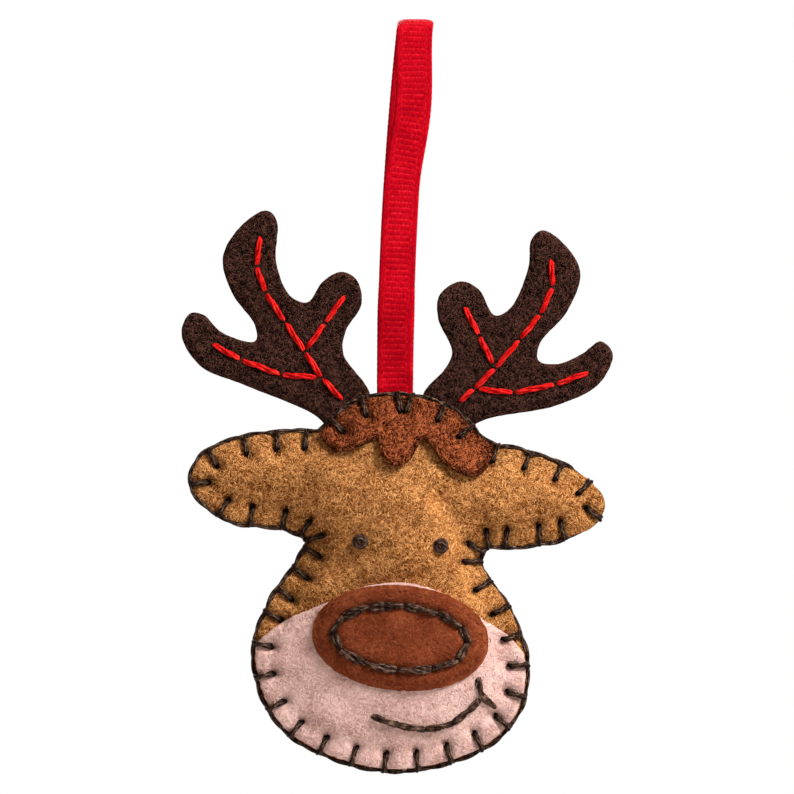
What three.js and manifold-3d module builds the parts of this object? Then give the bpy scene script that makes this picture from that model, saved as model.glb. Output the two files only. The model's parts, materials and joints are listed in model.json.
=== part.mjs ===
// A stuffed felt reindeer-head ornament on a ribbon loop, as it comes apart on a bench:
// felt sheets cut to outline, fibre filling between them, and the threads that sew them together.
// Millimetres, +Z up. The face looks along -Y and +X is at the viewer's right.
// The outlines are set out from the middle of the head's top edge, and the finished group is
// moved so that its origin is the hanging point, inside the top of the ribbon loop.
import * as THREE from "three";
import { mergeVertices } from "three/addons/utils/BufferGeometryUtils.js";
import Module from "manifold-3d";

const wasm = await Module();
wasm.setup();

// Driving dimensions
const FELT = 1.2; // thickness of the head, hair, muzzle and nose felt
const ANTLER_FELT = 1.6; // thickness of the stiffer antler felt
const CLEARANCE = 0.3; // gap left between pieces that touch
const THREAD = 0.8; // diameter of the sewing thread
const FRONT_CROWN = 3.8; // how far the filling swells the front felt
const BACK_CROWN = 3.4; // how far it swells the back felt
const SWELL_POWER = 0.45; // 1 is an evenly blown membrane, and less is flatter on top
const DRAW_IN = 5; // width of the rim that the edge stitches pull flat
const SEAM_OPEN_RADIUS = 14; // the seam stands open this far round the crown, for antlers and ribbon
const SEAM_CLOSE_RADIUS = 21; // and is closed from here on
const FILLING_SLOPE = 1.5; // how steeply the filling thickens from its rim
const FILLING_TOP = 9.6; // the filling ends this far below the head's top, under the antlers' tabs

const EDGE_STITCH_DEPTH = 2.8; // from the felt's edge to the needle hole
const STITCH_GAP = 1.8; // between the needle holes of two stitches in a row
const NOSE_RING_STITCHES = 12;

const RIBBON_WIDTH = 6;
const RIBBON = 0.5; // thickness of the grosgrain
const LOOP_HEIGHT = 62.5; // from the head's edge to the inside of the loop's top
const LOOP_RADIUS = 3.5; // inside radius of the loop's top
const LOOP_LEAN = 3.4; // how far the loop's top leans to the right
const LOOP_SPLAY = 1; // how far the front strand bows to the right of the rear one
const LOOP_SPLAY_START = 34; // height where the strands part
const FOLD_HEIGHT = 3.2; // the loop folds on a line this far above the edge
const SEWN_LENGTH = 8; // length of ribbon sewn in below the edge

const EYE_RADIUS = 1.3;
const EYE_HEIGHT = 1.3;
// the knob of a wound eye from its tip to its seat, as shares of the radius and of the height
const EYE_PROFILE = [[0, 0.15], [0.4, 0], [0.85, 0.2], [1, 0.55], [0.8, 1]];

const NOSE_CENTRE = [0.9, -40];
const NOSE_HALF_WIDTH = 14.7;
const NOSE_HALF_HEIGHT = 8.8;
const NOSE_SQUARENESS = 2.06; // exponent of the nose's superellipse
const NOSE_RING_INSET = 3.4; // from the nose's edge to its ring of stitches
const NOSE_TURN = THREE.MathUtils.degToRad(-5);

// Facets
const FACET = 5.4; // pitch of the lattice that the swollen felt is faceted on
const OUTLINE_STEP = 2.2;
const FINE_OUTLINE_STEP = 1.6; // for outlines with small lobes
const MEMBRANE_STEP = 1; // pitch of the finer lattice that the swell is worked out on
const MEMBRANE_PASSES = 300;
const OVER_RELAX = 1.9;
const THREAD_SIDES = 4;
const EYE_SIDES = 10;
const NOSE_CURVE_POINTS = 24;
const LOOP_STRAND_STEPS = 14;
const LOOP_TOP_STEPS = 8;
const RUN_SAMPLES = 12; // places along a straight run of thread where its height is tried
const THROUGH = 100; // longer than anything that a cutter passes through

// Outlines, as points that a smooth closed curve passes through: x to the right, z up
const HEAD_POINTS = [
  // crown
  [-12.7, -6], [-9.6, -3.5], [-6.3, -1.1], [0, 0], [5.5, -0.8], [10.2, -2.9], [15.3, -7.8],
  // right ear
  [22, -9.5], [31.5, -13.6], [34.7, -17.9], [33, -21.2], [28, -23.3], [20, -24.6], [15, -24.9],
  // right cheek, chin and left cheek
  [13.9, -27], [15.2, -30.2], [18.9, -35.5], [21.7, -45.8], [19.7, -53.3], [13.9, -58.5],
  [0, -61.9], [-13.4, -58.4], [-19.8, -53.3], [-23.2, -43.2], [-20.9, -35], [-15.6, -27],
  // left ear
  [-14.4, -23.9], [-17.4, -21.8], [-27.8, -20.1], [-33.4, -15.2], [-32.6, -10.7], [-26.3, -7.3],
  [-17, -6.1],
];
// The hand-sewn edge stitches, in runs of one pitch. Places are along the edge, clockwise from the
// left end of the crown. The stitches of a gathered run lean to one hole.
const EDGE_STITCH_RUNS = [
  { run: "crown, left", first: 3.2, pitch: 5.9, count: 2 },
  { run: "crown, middle", first: 15.1, pitch: 2.2, count: 2, gathered: 0.6 },
  { run: "right ear, upper edge", first: 22.9, pitch: 5.6, count: 5 },
  { run: "right ear, tip", first: 50.7, pitch: 6.8, count: 3 },
  { run: "right ear, lower edge", first: 68.3, pitch: 5.8, count: 2 },
  { run: "right corner", first: 77, pitch: 1.7, count: 3 },
  { run: "right cheek", first: 84.3, pitch: 5.1, count: 4 },
  { run: "chin", first: 104.9, pitch: 5.57, count: 12 },
  { run: "left cheek", first: 171.5, pitch: 4.4, count: 3 },
  { run: "left corner", first: 184.1, pitch: 1.6, count: 3 },
  { run: "left ear, lower edge", first: 190.7, pitch: 5.4, count: 3 },
  { run: "left ear, tip", first: 208.3, pitch: 6.2, count: 3 },
  { run: "left ear, upper edge", first: 226.2, pitch: 5, count: 2 },
];
const HAIR_POINTS = [
  // beyond the crown, where the head's own edge trims it
  [-12.2, -1.5], [0, 5], [14, 0],
  // right lobe, notch, middle lobe, notch, left lobe
  [16, -8.5], [14.9, -11.9], [12.2, -12.9], [8.4, -10.9], [4.6, -6.6], [3.2, -8.9], [0.4, -11.3],
  [-2.1, -9.6], [-2.7, -6.5], [-6.2, -8.1], [-9.6, -8.7], [-11.8, -6.8],
];
const MUZZLE_POINTS = [
  // upper edge
  [-24.6, -43.4], [-21.4, -39.5], [-17, -36.6], [-11.5, -34.3], [-4.5, -31.4], [2, -30.9], [8.5, -32.9],
  [14.3, -36.9], [18.6, -39.6], [22, -43.8], [24, -49],
  // beyond the chin, where the head's own edge trims it
  [22, -64], [0, -68], [-22, -64],
];
// Each antler's outline, with the tab that is sewn in last, and its three rows of stitches
const ANTLERS = {
  left: {
    outline: [
      [-4.2, 0.6], [-8.6, 7.2], [-8.2, 11], [-5.6, 15.4], [-6.3, 19.4], [-8.8, 20.9], [-12, 19.3],
      [-14.6, 15.8], [-17.5, 16.9], [-19.8, 22.5], [-19.7, 29.4], [-21.4, 31.1], [-25.6, 28.6],
      [-28.7, 23.3], [-27.2, 17.4], [-23.3, 11.8], [-23.3, 9.3], [-28.9, 10.8], [-31.9, 13.7],
      [-34.2, 13.9], [-35.6, 10.5], [-32.5, 5.2], [-24.4, 1.7], [-12.4, -3.8], [-9.9, -8.2],
      [-4.7, -5.4],
    ],
    rows: {
      main: [
        [-22.5, 26.5], [-23.1, 21.8], [-21.6, 17.4], [-18.3, 12.5], [-15, 7.5], [-12.2, 3.2], [-8.9, -0.3],
      ],
      outer: [[-30.2, 8.7], [-25.7, 6.2], [-19, 3.7], [-14.4, 3.2]],
      inner: [[-8.5, 16.7], [-11.7, 12.3], [-13.9, 9.2]],
    },
  },
  right: {
    outline: [
      [4.7, 0.5], [8.4, 4.8], [9.5, 7.6], [7.2, 13], [7.4, 17], [11, 19.3], [14, 17.9], [16.6, 13.6],
      [19.2, 14.8], [22.2, 21.5], [22.7, 26.2], [24.5, 27.8], [28.2, 25.5], [30.9, 20.7], [28.7, 14.3],
      [24.1, 8.8], [23.9, 6.1], [27, 5.5], [31.2, 7.2], [34.3, 9.3], [36.3, 7.2], [34, 2.2],
      [27, -1.4], [13.8, -4.3], [10.2, -8], [4.6, -5.2],
    ],
    rows: {
      main: [
        [26, 22.7], [26.3, 18.3], [24.2, 13.8], [20.8, 9.6], [16.7, 4.8], [13.2, 1.4], [10.9, -0.6],
      ],
      outer: [[32, 4], [26.7, 2.1], [19.8, 0.7], [15.4, 1.2]],
      inner: [[11.7, 14.8], [14, 10.2], [15.7, 6.6]],
    },
  },
};
const EYES = { left: [-5.8, -24], right: [7.6, -24.7] };
const SMILE_LINE = [[-3.6, -53], [0.6, -54.5], [5, -55.2], [9.4, -54.3], [13.9, -50.5]];
const SMILE_CORNER_LINE = [[13.9, -46.9], [16.5, -51.4]];

// Sizes that follow from the driving dimensions
const threadRadius = THREAD / 2;
const ringOffset = CLEARANCE + threadRadius; // the edge thread's middle, out from the felt's edge
const ribbonHalfStack = CLEARANCE / 2 + RIBBON; // half the thickness of the two strands together

const colours = {
  tan: 0xb07a3c, russet: 0x7c3a1c, pink: 0xe3bdb3, brown: 0x30221a,
  darkThread: 0x33261e, redThread: 0xd81f22, ribbon: 0xd0101f, filling: 0xf1efe9,
};
const finish = (color, roughness) => new THREE.MeshStandardMaterial({ color, roughness, metalness: 0 });
const materials = {
  tanFelt: finish(colours.tan, 0.95),
  russetFelt: finish(colours.russet, 0.95),
  pinkFelt: finish(colours.pink, 0.95),
  brownFelt: finish(colours.brown, 0.95),
  darkThread: finish(colours.darkThread, 0.6),
  redThread: finish(colours.redThread, 0.6),
  ribbon: finish(colours.ribbon, 0.55),
  filling: finish(colours.filling, 1),
};

const ornament = new THREE.Group();
ornament.position.set(-LOOP_LEAN, 0, -LOOP_HEIGHT);

// Solids and meshes

function solidFromArrays(positions, triangles) {
  return new wasm.Manifold(new wasm.Mesh({
    numProp: 3,
    vertProperties: new Float32Array(positions),
    triVerts: new Uint32Array(triangles),
  }));
}

function solidFromGeometry(geometry) {
  geometry.deleteAttribute("normal");
  geometry.deleteAttribute("uv");
  const merged = mergeVertices(geometry);
  return solidFromArrays(merged.attributes.position.array, merged.index.array);
}

function addPiece(name, solid, material) {
  const { vertProperties, triVerts } = solid.getMesh();
  const geometry = new THREE.BufferGeometry();
  geometry.setAttribute("position", new THREE.BufferAttribute(vertProperties, 3));
  geometry.setIndex(new THREE.BufferAttribute(triVerts, 1));
  geometry.computeVertexNormals();
  const mesh = new THREE.Mesh(geometry, material);
  mesh.name = name;
  ornament.add(mesh);
}

// Outlines

const closedCurve = (points) =>
  new THREE.CatmullRomCurve3(points.map(([x, z]) => new THREE.Vector3(x, 0, z)), true, "centripetal");

function outlineOf(curve, step = OUTLINE_STEP) {
  const count = Math.round(curve.getLength() / step);
  return curve.getSpacedPoints(count).slice(0, count).map((p) => new THREE.Vector2(p.x, p.z));
}

function isInside(outline, x, z) {
  let inside = false;
  outline.forEach((a, i) => {
    const b = outline[(i + 1) % outline.length];
    if (a.y > z !== b.y > z && x < a.x + ((z - a.y) * (b.x - a.x)) / (b.y - a.y)) inside = !inside;
  });
  return inside;
}

// Distance from a point to an outline's edge, negative outside it.
function depthInside(outline, x, z) {
  const point = new THREE.Vector3(x, z, 0);
  const edge = new THREE.Line3();
  const nearest = new THREE.Vector3();
  let least = Infinity;
  outline.forEach((a, i) => {
    const b = outline[(i + 1) % outline.length];
    edge.start.set(a.x, a.y, 0);
    edge.end.set(b.x, b.y, 0);
    edge.closestPointToPoint(point, true, nearest);
    least = Math.min(least, nearest.distanceTo(point));
  });
  return isInside(outline, x, z) ? least : -least;
}

// A straight-sided cutter of an outline's shape, along Y.
function prism(outline, depth = THROUGH) {
  const geometry = new THREE.ExtrudeGeometry(new THREE.Shape(outline), { depth, bevelEnabled: false });
  geometry.rotateX(Math.PI / 2);
  geometry.translate(0, depth / 2, 0);
  return solidFromGeometry(geometry);
}

const headCurve = closedCurve(HEAD_POINTS);
const headOutline = outlineOf(headCurve);
const hairOutline = outlineOf(closedCurve(HAIR_POINTS), FINE_OUTLINE_STEP);
const muzzleOutline = outlineOf(closedCurve(MUZZLE_POINTS));

// A point of the nose's superellipse, drawn in from its edge by inset.
function nosePoint(share, inset = 0) {
  const angle = share * 2 * Math.PI;
  const bend = (v) => Math.sign(v) * Math.abs(v) ** (2 / NOSE_SQUARENESS);
  return new THREE.Vector2(
    (NOSE_HALF_WIDTH - inset) * bend(Math.cos(angle)),
    (NOSE_HALF_HEIGHT - inset) * bend(Math.sin(angle)),
  ).rotateAround(new THREE.Vector2(), NOSE_TURN).add(new THREE.Vector2(...NOSE_CENTRE));
}
const noseCurve = closedCurve(
  Array.from({ length: NOSE_CURVE_POINTS }, (_, i) => nosePoint(i / NOSE_CURVE_POINTS).toArray()),
);
const noseOutline = outlineOf(noseCurve);

// The swollen head: a membrane blown up inside the head's outline, drawn flat along its rim

const headBox = new THREE.Box2().setFromPoints(headOutline).expandByScalar(FACET);

// Heights of a membrane under even pressure, found by relaxing a lattice, as shares of the highest.
function membrane(outline, box, step) {
  const columns = Math.ceil((box.max.x - box.min.x) / step);
  const rows = Math.ceil((box.max.y - box.min.y) / step);
  const at = (i, j) => j * (columns + 1) + i;
  const height = new Float64Array((columns + 1) * (rows + 1));
  const free = [];
  for (let j = 1; j < rows; j++)
    for (let i = 1; i < columns; i++)
      if (isInside(outline, box.min.x + i * step, box.min.y + j * step)) free.push(at(i, j));
  for (let pass = 0; pass < MEMBRANE_PASSES; pass++)
    for (const k of free) {
      const around = height[k - 1] + height[k + 1] + height[k - columns - 1] + height[k + columns + 1];
      height[k] += OVER_RELAX * ((around + step * step) / 4 - height[k]);
    }
  const highest = Math.max(...height);
  return (x, z) => {
    const u = THREE.MathUtils.clamp((x - box.min.x) / step, 0, columns);
    const v = THREE.MathUtils.clamp((z - box.min.y) / step, 0, rows);
    const i = Math.min(Math.floor(u), columns - 1);
    const j = Math.min(Math.floor(v), rows - 1);
    const low = THREE.MathUtils.lerp(height[at(i, j)], height[at(i + 1, j)], u - i);
    const high = THREE.MathUtils.lerp(height[at(i, j + 1)], height[at(i + 1, j + 1)], u - i);
    return THREE.MathUtils.lerp(low, high, v - j) / highest;
  };
}

// A field sampled on the facet lattice and read back along the lattice's own triangles, so that
// every layer laid on the head has the same facets and keeps an even gap to the next.
const columns = Math.ceil((headBox.max.x - headBox.min.x) / FACET);
const rows = Math.ceil((headBox.max.y - headBox.min.y) / FACET);
function facetField(value) {
  const node = (i, j) => value(headBox.min.x + i * FACET, headBox.min.y + j * FACET);
  const latticeRow = (j) => Array.from({ length: columns + 1 }, (_, i) => node(i, j));
  const values = Array.from({ length: rows + 1 }, (_, j) => latticeRow(j));
  return (x, z) => {
    const u = THREE.MathUtils.clamp((x - headBox.min.x) / FACET, 0, columns);
    const v = THREE.MathUtils.clamp((z - headBox.min.y) / FACET, 0, rows);
    const i = Math.min(Math.floor(u), columns - 1);
    const j = Math.min(Math.floor(v), rows - 1);
    const [s, t] = [u - i, v - j];
    const [a, b, c, d] = [values[j][i], values[j][i + 1], values[j + 1][i + 1], values[j + 1][i]];
    return s > t ? a + s * (b - a) + t * (c - b) : a + t * (d - a) + s * (c - d);
  };
}

const blownUp = membrane(headOutline, headBox, MEMBRANE_STEP);
const swell = facetField((x, z) => {
  const depth = depthInside(headOutline, x, z);
  return blownUp(x, z) ** SWELL_POWER * THREE.MathUtils.smoothstep(depth, 0, DRAW_IN);
});
const rimDepth = facetField((x, z) => depthInside(headOutline, x, z));
const halfSeam = facetField((x, z) => {
  const closing = THREE.MathUtils.smoothstep(Math.hypot(x, z), SEAM_OPEN_RADIUS, SEAM_CLOSE_RADIUS);
  return THREE.MathUtils.lerp(ANTLER_FELT / 2 + CLEARANCE, CLEARANCE / 2, closing);
});

// Distances from the seam's middle plane, towards the viewer for the front and away for the back
const frontInner = (x, z) => halfSeam(x, z) + FRONT_CROWN * swell(x, z);
const frontOuter = (x, z) => frontInner(x, z) + FELT;
const patchInner = (x, z) => frontOuter(x, z) + CLEARANCE;
const patchOuter = (x, z) => patchInner(x, z) + FELT;
const noseInner = (x, z) => patchOuter(x, z) + CLEARANCE;
const noseOuter = (x, z) => noseInner(x, z) + FELT;
const backInner = (x, z) => halfSeam(x, z) + BACK_CROWN * swell(x, z);
const backOuter = (x, z) => backInner(x, z) + FELT;
const faceTop = (x, z) =>
  isInside(hairOutline, x, z) || isInside(muzzleOutline, x, z) ? patchOuter(x, z) : frontOuter(x, z);

// A sheet over the whole lattice between two faces given as y, the nearer one first.
function slab(nearY, farY) {
  const positions = [];
  const triangles = [];
  const layer = (columns + 1) * (rows + 1);
  const at = (i, j) => j * (columns + 1) + i;
  for (const face of [nearY, farY])
    for (let j = 0; j <= rows; j++)
      for (let i = 0; i <= columns; i++) {
        const [x, z] = [headBox.min.x + i * FACET, headBox.min.y + j * FACET];
        positions.push(x, face(x, z), z);
      }
  for (let j = 0; j < rows; j++)
    for (let i = 0; i < columns; i++) {
      const [a, b, c, d] = [at(i, j), at(i + 1, j), at(i + 1, j + 1), at(i, j + 1)];
      triangles.push(a, b, c, a, c, d);
      triangles.push(a + layer, c + layer, b + layer, a + layer, d + layer, c + layer);
    }
  const rim = [];
  for (let i = 0; i < columns; i++) rim.push(at(i, 0));
  for (let j = 0; j < rows; j++) rim.push(at(columns, j));
  for (let i = columns; i > 0; i--) rim.push(at(i, rows));
  for (let j = rows; j > 0; j--) rim.push(at(0, j));
  rim.forEach((p, k) => {
    const q = rim[(k + 1) % rim.length];
    triangles.push(p, p + layer, q + layer, p, q + layer, q);
  });
  return solidFromArrays(positions, triangles);
}

const frontSheet = (inner, outer) => slab((x, z) => -outer(x, z), (x, z) => -inner(x, z));

// Threads

const polygonSection = (radius, sides, turned = 0.5) =>
  Array.from({ length: sides }, (_, k) => {
    const angle = ((k + turned) * 2 * Math.PI) / sides;
    return [radius * Math.cos(angle), radius * Math.sin(angle)];
  });
const threadSection = polygonSection(threadRadius, THREAD_SIDES);
// the edge thread has corners where the loops over it have flats
const edgeThreadSection = polygonSection(threadRadius, THREAD_SIDES, 0);
const flat = Math.cos(Math.PI / THREAD_SIDES);
const needleHoleRadius = threadRadius + CLEARANCE / flat;
const needleHoleSection = polygonSection(needleHoleRadius, THREAD_SIDES);

// Carries a section along a path with mitred corners. Each point of the path has a direction
// across it, square to the plane that the path bends in there.
function sweep(path, across, section, closed = false) {
  const positions = [];
  const triangles = [];
  const last = path.length - 1;
  path.forEach((point, i) => {
    const before = path[i > 0 ? i - 1 : last];
    const after = path[i < last ? i + 1 : 0];
    const leaving = after.clone().sub(point).normalize();
    const coming = point.clone().sub(before).normalize();
    if (!closed && i === 0) coming.copy(leaving);
    if (!closed && i === last) leaving.copy(coming);
    const along = coming.add(leaving).normalize();
    const mitre = 1 / along.dot(leaving);
    const side = across[i].clone().addScaledVector(along, -across[i].dot(along)).normalize();
    const up = along.clone().cross(side);
    for (const [a, b] of section)
      positions.push(...point.clone().addScaledVector(side, a).addScaledVector(up, b * mitre));
  });
  const n = section.length;
  const spans = closed ? path.length : last;
  for (let i = 0; i < spans; i++)
    for (let k = 0; k < n; k++) {
      const [a, b] = [i * n + k, i * n + ((k + 1) % n)];
      const [c, d] = [((i + 1) % path.length) * n + ((k + 1) % n), ((i + 1) % path.length) * n + k];
      triangles.push(a, b, c, a, c, d);
    }
  if (!closed)
    for (let k = 1; k < n - 1; k++) triangles.push(0, k + 1, k, last * n, last * n + k, last * n + k + 1);
  return solidFromArrays(positions, triangles);
}

// A needle hole along Y, right through everything.
function needleHole(x, z, across) {
  const ends = [-THROUGH / 2, THROUGH / 2].map((y) => new THREE.Vector3(x, y, z));
  return sweep(ends, [across, across], needleHoleSection);
}

// Height of a thread's middle where it lies on a surface, over its full width.
function restingHeight(point, across, surface) {
  const sides = [-1, 0, 1].map((s) => point.clone().addScaledVector(across, s * needleHoleRadius));
  return Math.max(...sides.map((p) => surface(p.x, p.z))) + ringOffset;
}

// Heights of points along a straight run of thread, raised until the run clears the surface below.
function runHeights(points, across, surface) {
  const heights = points.map((p) => restingHeight(p, across, surface));
  let lift = 0;
  for (let i = 0; i < points.length - 1; i++)
    for (let s = 1; s < RUN_SAMPLES; s++) {
      const share = s / RUN_SAMPLES;
      const here = restingHeight(points[i].clone().lerp(points[i + 1], share), across, surface);
      lift = Math.max(lift, here - THREE.MathUtils.lerp(heights[i], heights[i + 1], share));
    }
  return heights.map((h) => h + lift);
}

// One row of running stitches through the given points. It comes up beside each point, runs to the
// next and goes down there. front and back are the faces it lies on, as distances from the seam plane.
function runningStitches(points, front, back, closed = false) {
  const path = [];
  const across = [];
  const holes = [];
  const count = closed ? points.length : points.length - 1;
  for (let i = 0; i < count; i++) {
    const [from, to] = [points[i], points[(i + 1) % points.length]];
    const direction = to.clone().sub(from).normalize();
    const inset = (open) => (open ? 0 : STITCH_GAP / 2);
    const start = from.clone().addScaledVector(direction, inset(!closed && i === 0));
    const end = to.clone().addScaledVector(direction, -inset(!closed && i === count - 1));
    const side = new THREE.Vector3(direction.z, 0, -direction.x);
    const run = [start, start.clone().lerp(end, 0.5), end];
    const heights = runHeights(run, side, front);
    const under = (p) => new THREE.Vector3(p.x, back(p.x, p.z) + ringOffset, p.z);
    path.push(under(start), ...run.map((p, k) => new THREE.Vector3(p.x, -heights[k], p.z)), under(end));
    across.push(side, side, side, side, side);
    holes.push(needleHole(start.x, start.z, side), needleHole(end.x, end.z, side));
  }
  return { thread: sweep(path, across, threadSection, closed), holes: wasm.Manifold.union(holes) };
}

const toPoints = (pairs) => pairs.map(([x, z]) => new THREE.Vector3(x, 0, z));
const behindFront = (x, z) => -frontInner(x, z);

// The blanket stitch: a thread round the edge, and a loop over the edge and through every layer at
// each stitch.
function blanketStitch() {
  const length = headCurve.getLength();
  const edgeAt = (place) => {
    const share = THREE.MathUtils.euclideanModulo(place / length, 1);
    const point = headCurve.getPointAt(share);
    const along = headCurve.getTangentAt(share);
    return { point, along, outward: new THREE.Vector3(-along.z, 0, along.x) };
  };
  const offEdge = ({ point, outward }, distance) => point.clone().addScaledVector(outward, distance);
  const stitches = EDGE_STITCH_RUNS.flatMap(({ first, pitch, count, gathered = 0 }) => {
    const middle = first + ((count - 1) * pitch) / 2;
    return Array.from({ length: count }, (_, i) => first + i * pitch)
      .map((place) => ({ place, holePlace: THREE.MathUtils.lerp(place, middle, gathered) }));
  });
  const loops = [];
  const holes = [];
  const ring = [];
  stitches.forEach(({ place, holePlace }, i) => {
    const next = i + 1 < stitches.length ? stitches[i + 1].place : stitches[0].place + length;
    const spans = Math.ceil((next - place) / OUTLINE_STEP);
    for (let k = 0; k < spans; k++) {
      const p = offEdge(edgeAt(THREE.MathUtils.lerp(place, next, k / spans)), ringOffset);
      ring.push(p.setY(-halfSeam(p.x, p.z) - FELT / 2));
    }
    const run = [offEdge(edgeAt(place), ringOffset), offEdge(edgeAt(holePlace), -EDGE_STITCH_DEPTH)];
    const leg = run[0].clone().sub(run[1]).normalize();
    const across = new THREE.Vector3(leg.z, 0, -leg.x);
    const near = runHeights(run, across, faceTop);
    const far = runHeights(run, across, backOuter);
    const loop = [
      run[0].clone().setY(-near[0]), run[1].clone().setY(-near[1]),
      run[1].clone().setY(far[1]), run[0].clone().setY(far[0]),
    ];
    loops.push(sweep(loop, loop.map(() => across), threadSection, true));
    holes.push(...run.map((p) => needleHole(p.x, p.z, across)));
  });
  const edgeThread = sweep(ring, ring.map(() => new THREE.Vector3(0, 1, 0)), edgeThreadSection, true);
  return { thread: wasm.Manifold.union([edgeThread, ...loops]), holes: wasm.Manifold.union(holes) };
}

// A wound eye knot on the front felt: knob, stem through the felt, and the knot behind it.
function eyeKnot([x, z]) {
  const seat = -frontOuter(x, z) - CLEARANCE;
  const tip = seat - EYE_HEIGHT;
  const behind = -frontInner(x, z) + CLEARANCE;
  const profile = [
    ...EYE_PROFILE.map(([r, y]) => [r * EYE_RADIUS, tip + y * EYE_HEIGHT]),
    [threadRadius, seat], [threadRadius, behind],
    [THREAD, behind], [THREAD, behind + THREAD], [0, behind + THREAD],
  ];
  const geometry = new THREE.LatheGeometry(profile.map(([r, y]) => new THREE.Vector2(r, y)), EYE_SIDES);
  geometry.translate(x, 0, z);
  return solidFromGeometry(geometry);
}

// Ribbon

const ribbonSection = [[-1, -1], [1, -1], [1, 1], [-1, 1]]
  .map(([a, b]) => [(a * RIBBON_WIDTH) / 2, (b * RIBBON) / 2]);

// The loop's middle line: up the front strand, round the top and down the rear strand.
function loopPath() {
  const foot = FOLD_HEIGHT - CLEARANCE;
  const shoulder = LOOP_HEIGHT - LOOP_RADIUS;
  const closeY = (CLEARANCE + RIBBON) / 2;
  const openY = LOOP_RADIUS + RIBBON / 2;
  const lean = (z) => LOOP_LEAN * (z / LOOP_HEIGHT) ** 2;
  const bow = (z) => {
    const share = THREE.MathUtils.clamp((z - LOOP_SPLAY_START) / (LOOP_HEIGHT - LOOP_SPLAY_START), 0, 1);
    return LOOP_SPLAY * Math.sin(Math.PI * share) ** 2;
  };
  const across = (y, z) => lean(Math.min(z, LOOP_HEIGHT)) + (y < 0 ? bow(z) : 0);
  const strand = (side) =>
    Array.from({ length: LOOP_STRAND_STEPS }, (_, i) => {
      const share = i / LOOP_STRAND_STEPS;
      const z = THREE.MathUtils.lerp(foot, shoulder, share);
      const y = side * THREE.MathUtils.lerp(closeY, openY, THREE.MathUtils.smoothstep(share, 0, 1));
      return new THREE.Vector3(across(y, z), y, z);
    });
  const top = Array.from({ length: LOOP_TOP_STEPS + 1 }, (_, i) => {
    const angle = Math.PI - (i * Math.PI) / LOOP_TOP_STEPS;
    const y = openY * Math.cos(angle);
    const z = shoulder + openY * Math.sin(angle);
    return new THREE.Vector3(across(y, z), y, z);
  });
  return [...strand(-1), ...top, ...strand(1).reverse()];
}

function ribbonEnd(sign, holes) {
  const foldRoom = Math.hypot(ribbonHalfStack, CLEARANCE) + CLEARANCE; // the turning loop stays clear of it
  const top = FOLD_HEIGHT - foldRoom;
  const box = new THREE.BoxGeometry(RIBBON_WIDTH, RIBBON, top + SEWN_LENGTH);
  box.translate(0, (sign * (CLEARANCE + RIBBON)) / 2, (top - SEWN_LENGTH) / 2);
  return solidFromGeometry(box).subtract(holes);
}

// Assembly

const edgeStitch = blanketStitch();
const noseRing = runningStitches(
  Array.from({ length: NOSE_RING_STITCHES }, (_, i) => nosePoint(-i / NOSE_RING_STITCHES, NOSE_RING_INSET))
    .map((p) => new THREE.Vector3(p.x, 0, p.y)),
  noseOuter, behindFront, true,
);
const smile = runningStitches(toPoints(SMILE_LINE), patchOuter, behindFront);
const smileCorner = runningStitches(toPoints(SMILE_CORNER_LINE), patchOuter, behindFront);
const eyeHoles = wasm.Manifold.union(
  Object.values(EYES).map(([x, z]) => needleHole(x, z, new THREE.Vector3(1, 0, 0))),
);
const faceHoles = wasm.Manifold.union([edgeStitch.holes, noseRing.holes, smile.holes, smileCorner.holes]);

const headPrism = prism(headOutline);
addPiece(
  "head_front_felt",
  frontSheet(frontInner, frontOuter).intersect(headPrism).subtract(faceHoles).subtract(eyeHoles),
  materials.tanFelt,
);
addPiece(
  "head_back_felt",
  slab(backInner, backOuter).intersect(headPrism).subtract(edgeStitch.holes),
  materials.tanFelt,
);
const patch = (outline) =>
  frontSheet(patchInner, patchOuter).intersect(headPrism).intersect(prism(outline)).subtract(faceHoles);
addPiece("hair_felt", patch(hairOutline), materials.russetFelt);
addPiece("muzzle_felt", patch(muzzleOutline), materials.pinkFelt);
addPiece(
  "nose_felt",
  frontSheet(noseInner, noseOuter).intersect(prism(noseOutline)).subtract(noseRing.holes),
  materials.russetFelt,
);

// The filling stays clear of the threads behind the front felt and rests on the back felt.
const fillingInset = EDGE_STITCH_DEPTH + needleHoleRadius + CLEARANCE;
const fillingRim = (x, z) => FILLING_SLOPE * (rimDepth(x, z) - fillingInset);
const fillingFront = (x, z) =>
  Math.min(frontInner(x, z) - 2 * CLEARANCE - THREAD, fillingRim(x, z));
const fillingBack = (x, z) => Math.min(backInner(x, z) - CLEARANCE, fillingRim(x, z));
const belowTop = new THREE.BoxGeometry(THROUGH, THROUGH, THROUGH);
belowTop.translate(0, 0, -THROUGH / 2 - FILLING_TOP);
addPiece(
  "fibre_filling",
  slab((x, z) => -fillingFront(x, z), () => THROUGH / 2)
    .intersect(slab(() => -THROUGH / 2, fillingBack))
    .intersect(solidFromGeometry(belowTop)),
  materials.filling,
);

addPiece("edge_blanket_stitch", edgeStitch.thread, materials.darkThread);
addPiece("nose_ring_stitch", noseRing.thread, materials.darkThread);
addPiece("smile_stitch", smile.thread, materials.darkThread);
addPiece("smile_corner_stitch", smileCorner.thread, materials.darkThread);
for (const [side, place] of Object.entries(EYES))
  addPiece(`${side}_eye_knot`, eyeKnot(place), materials.darkThread);

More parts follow.
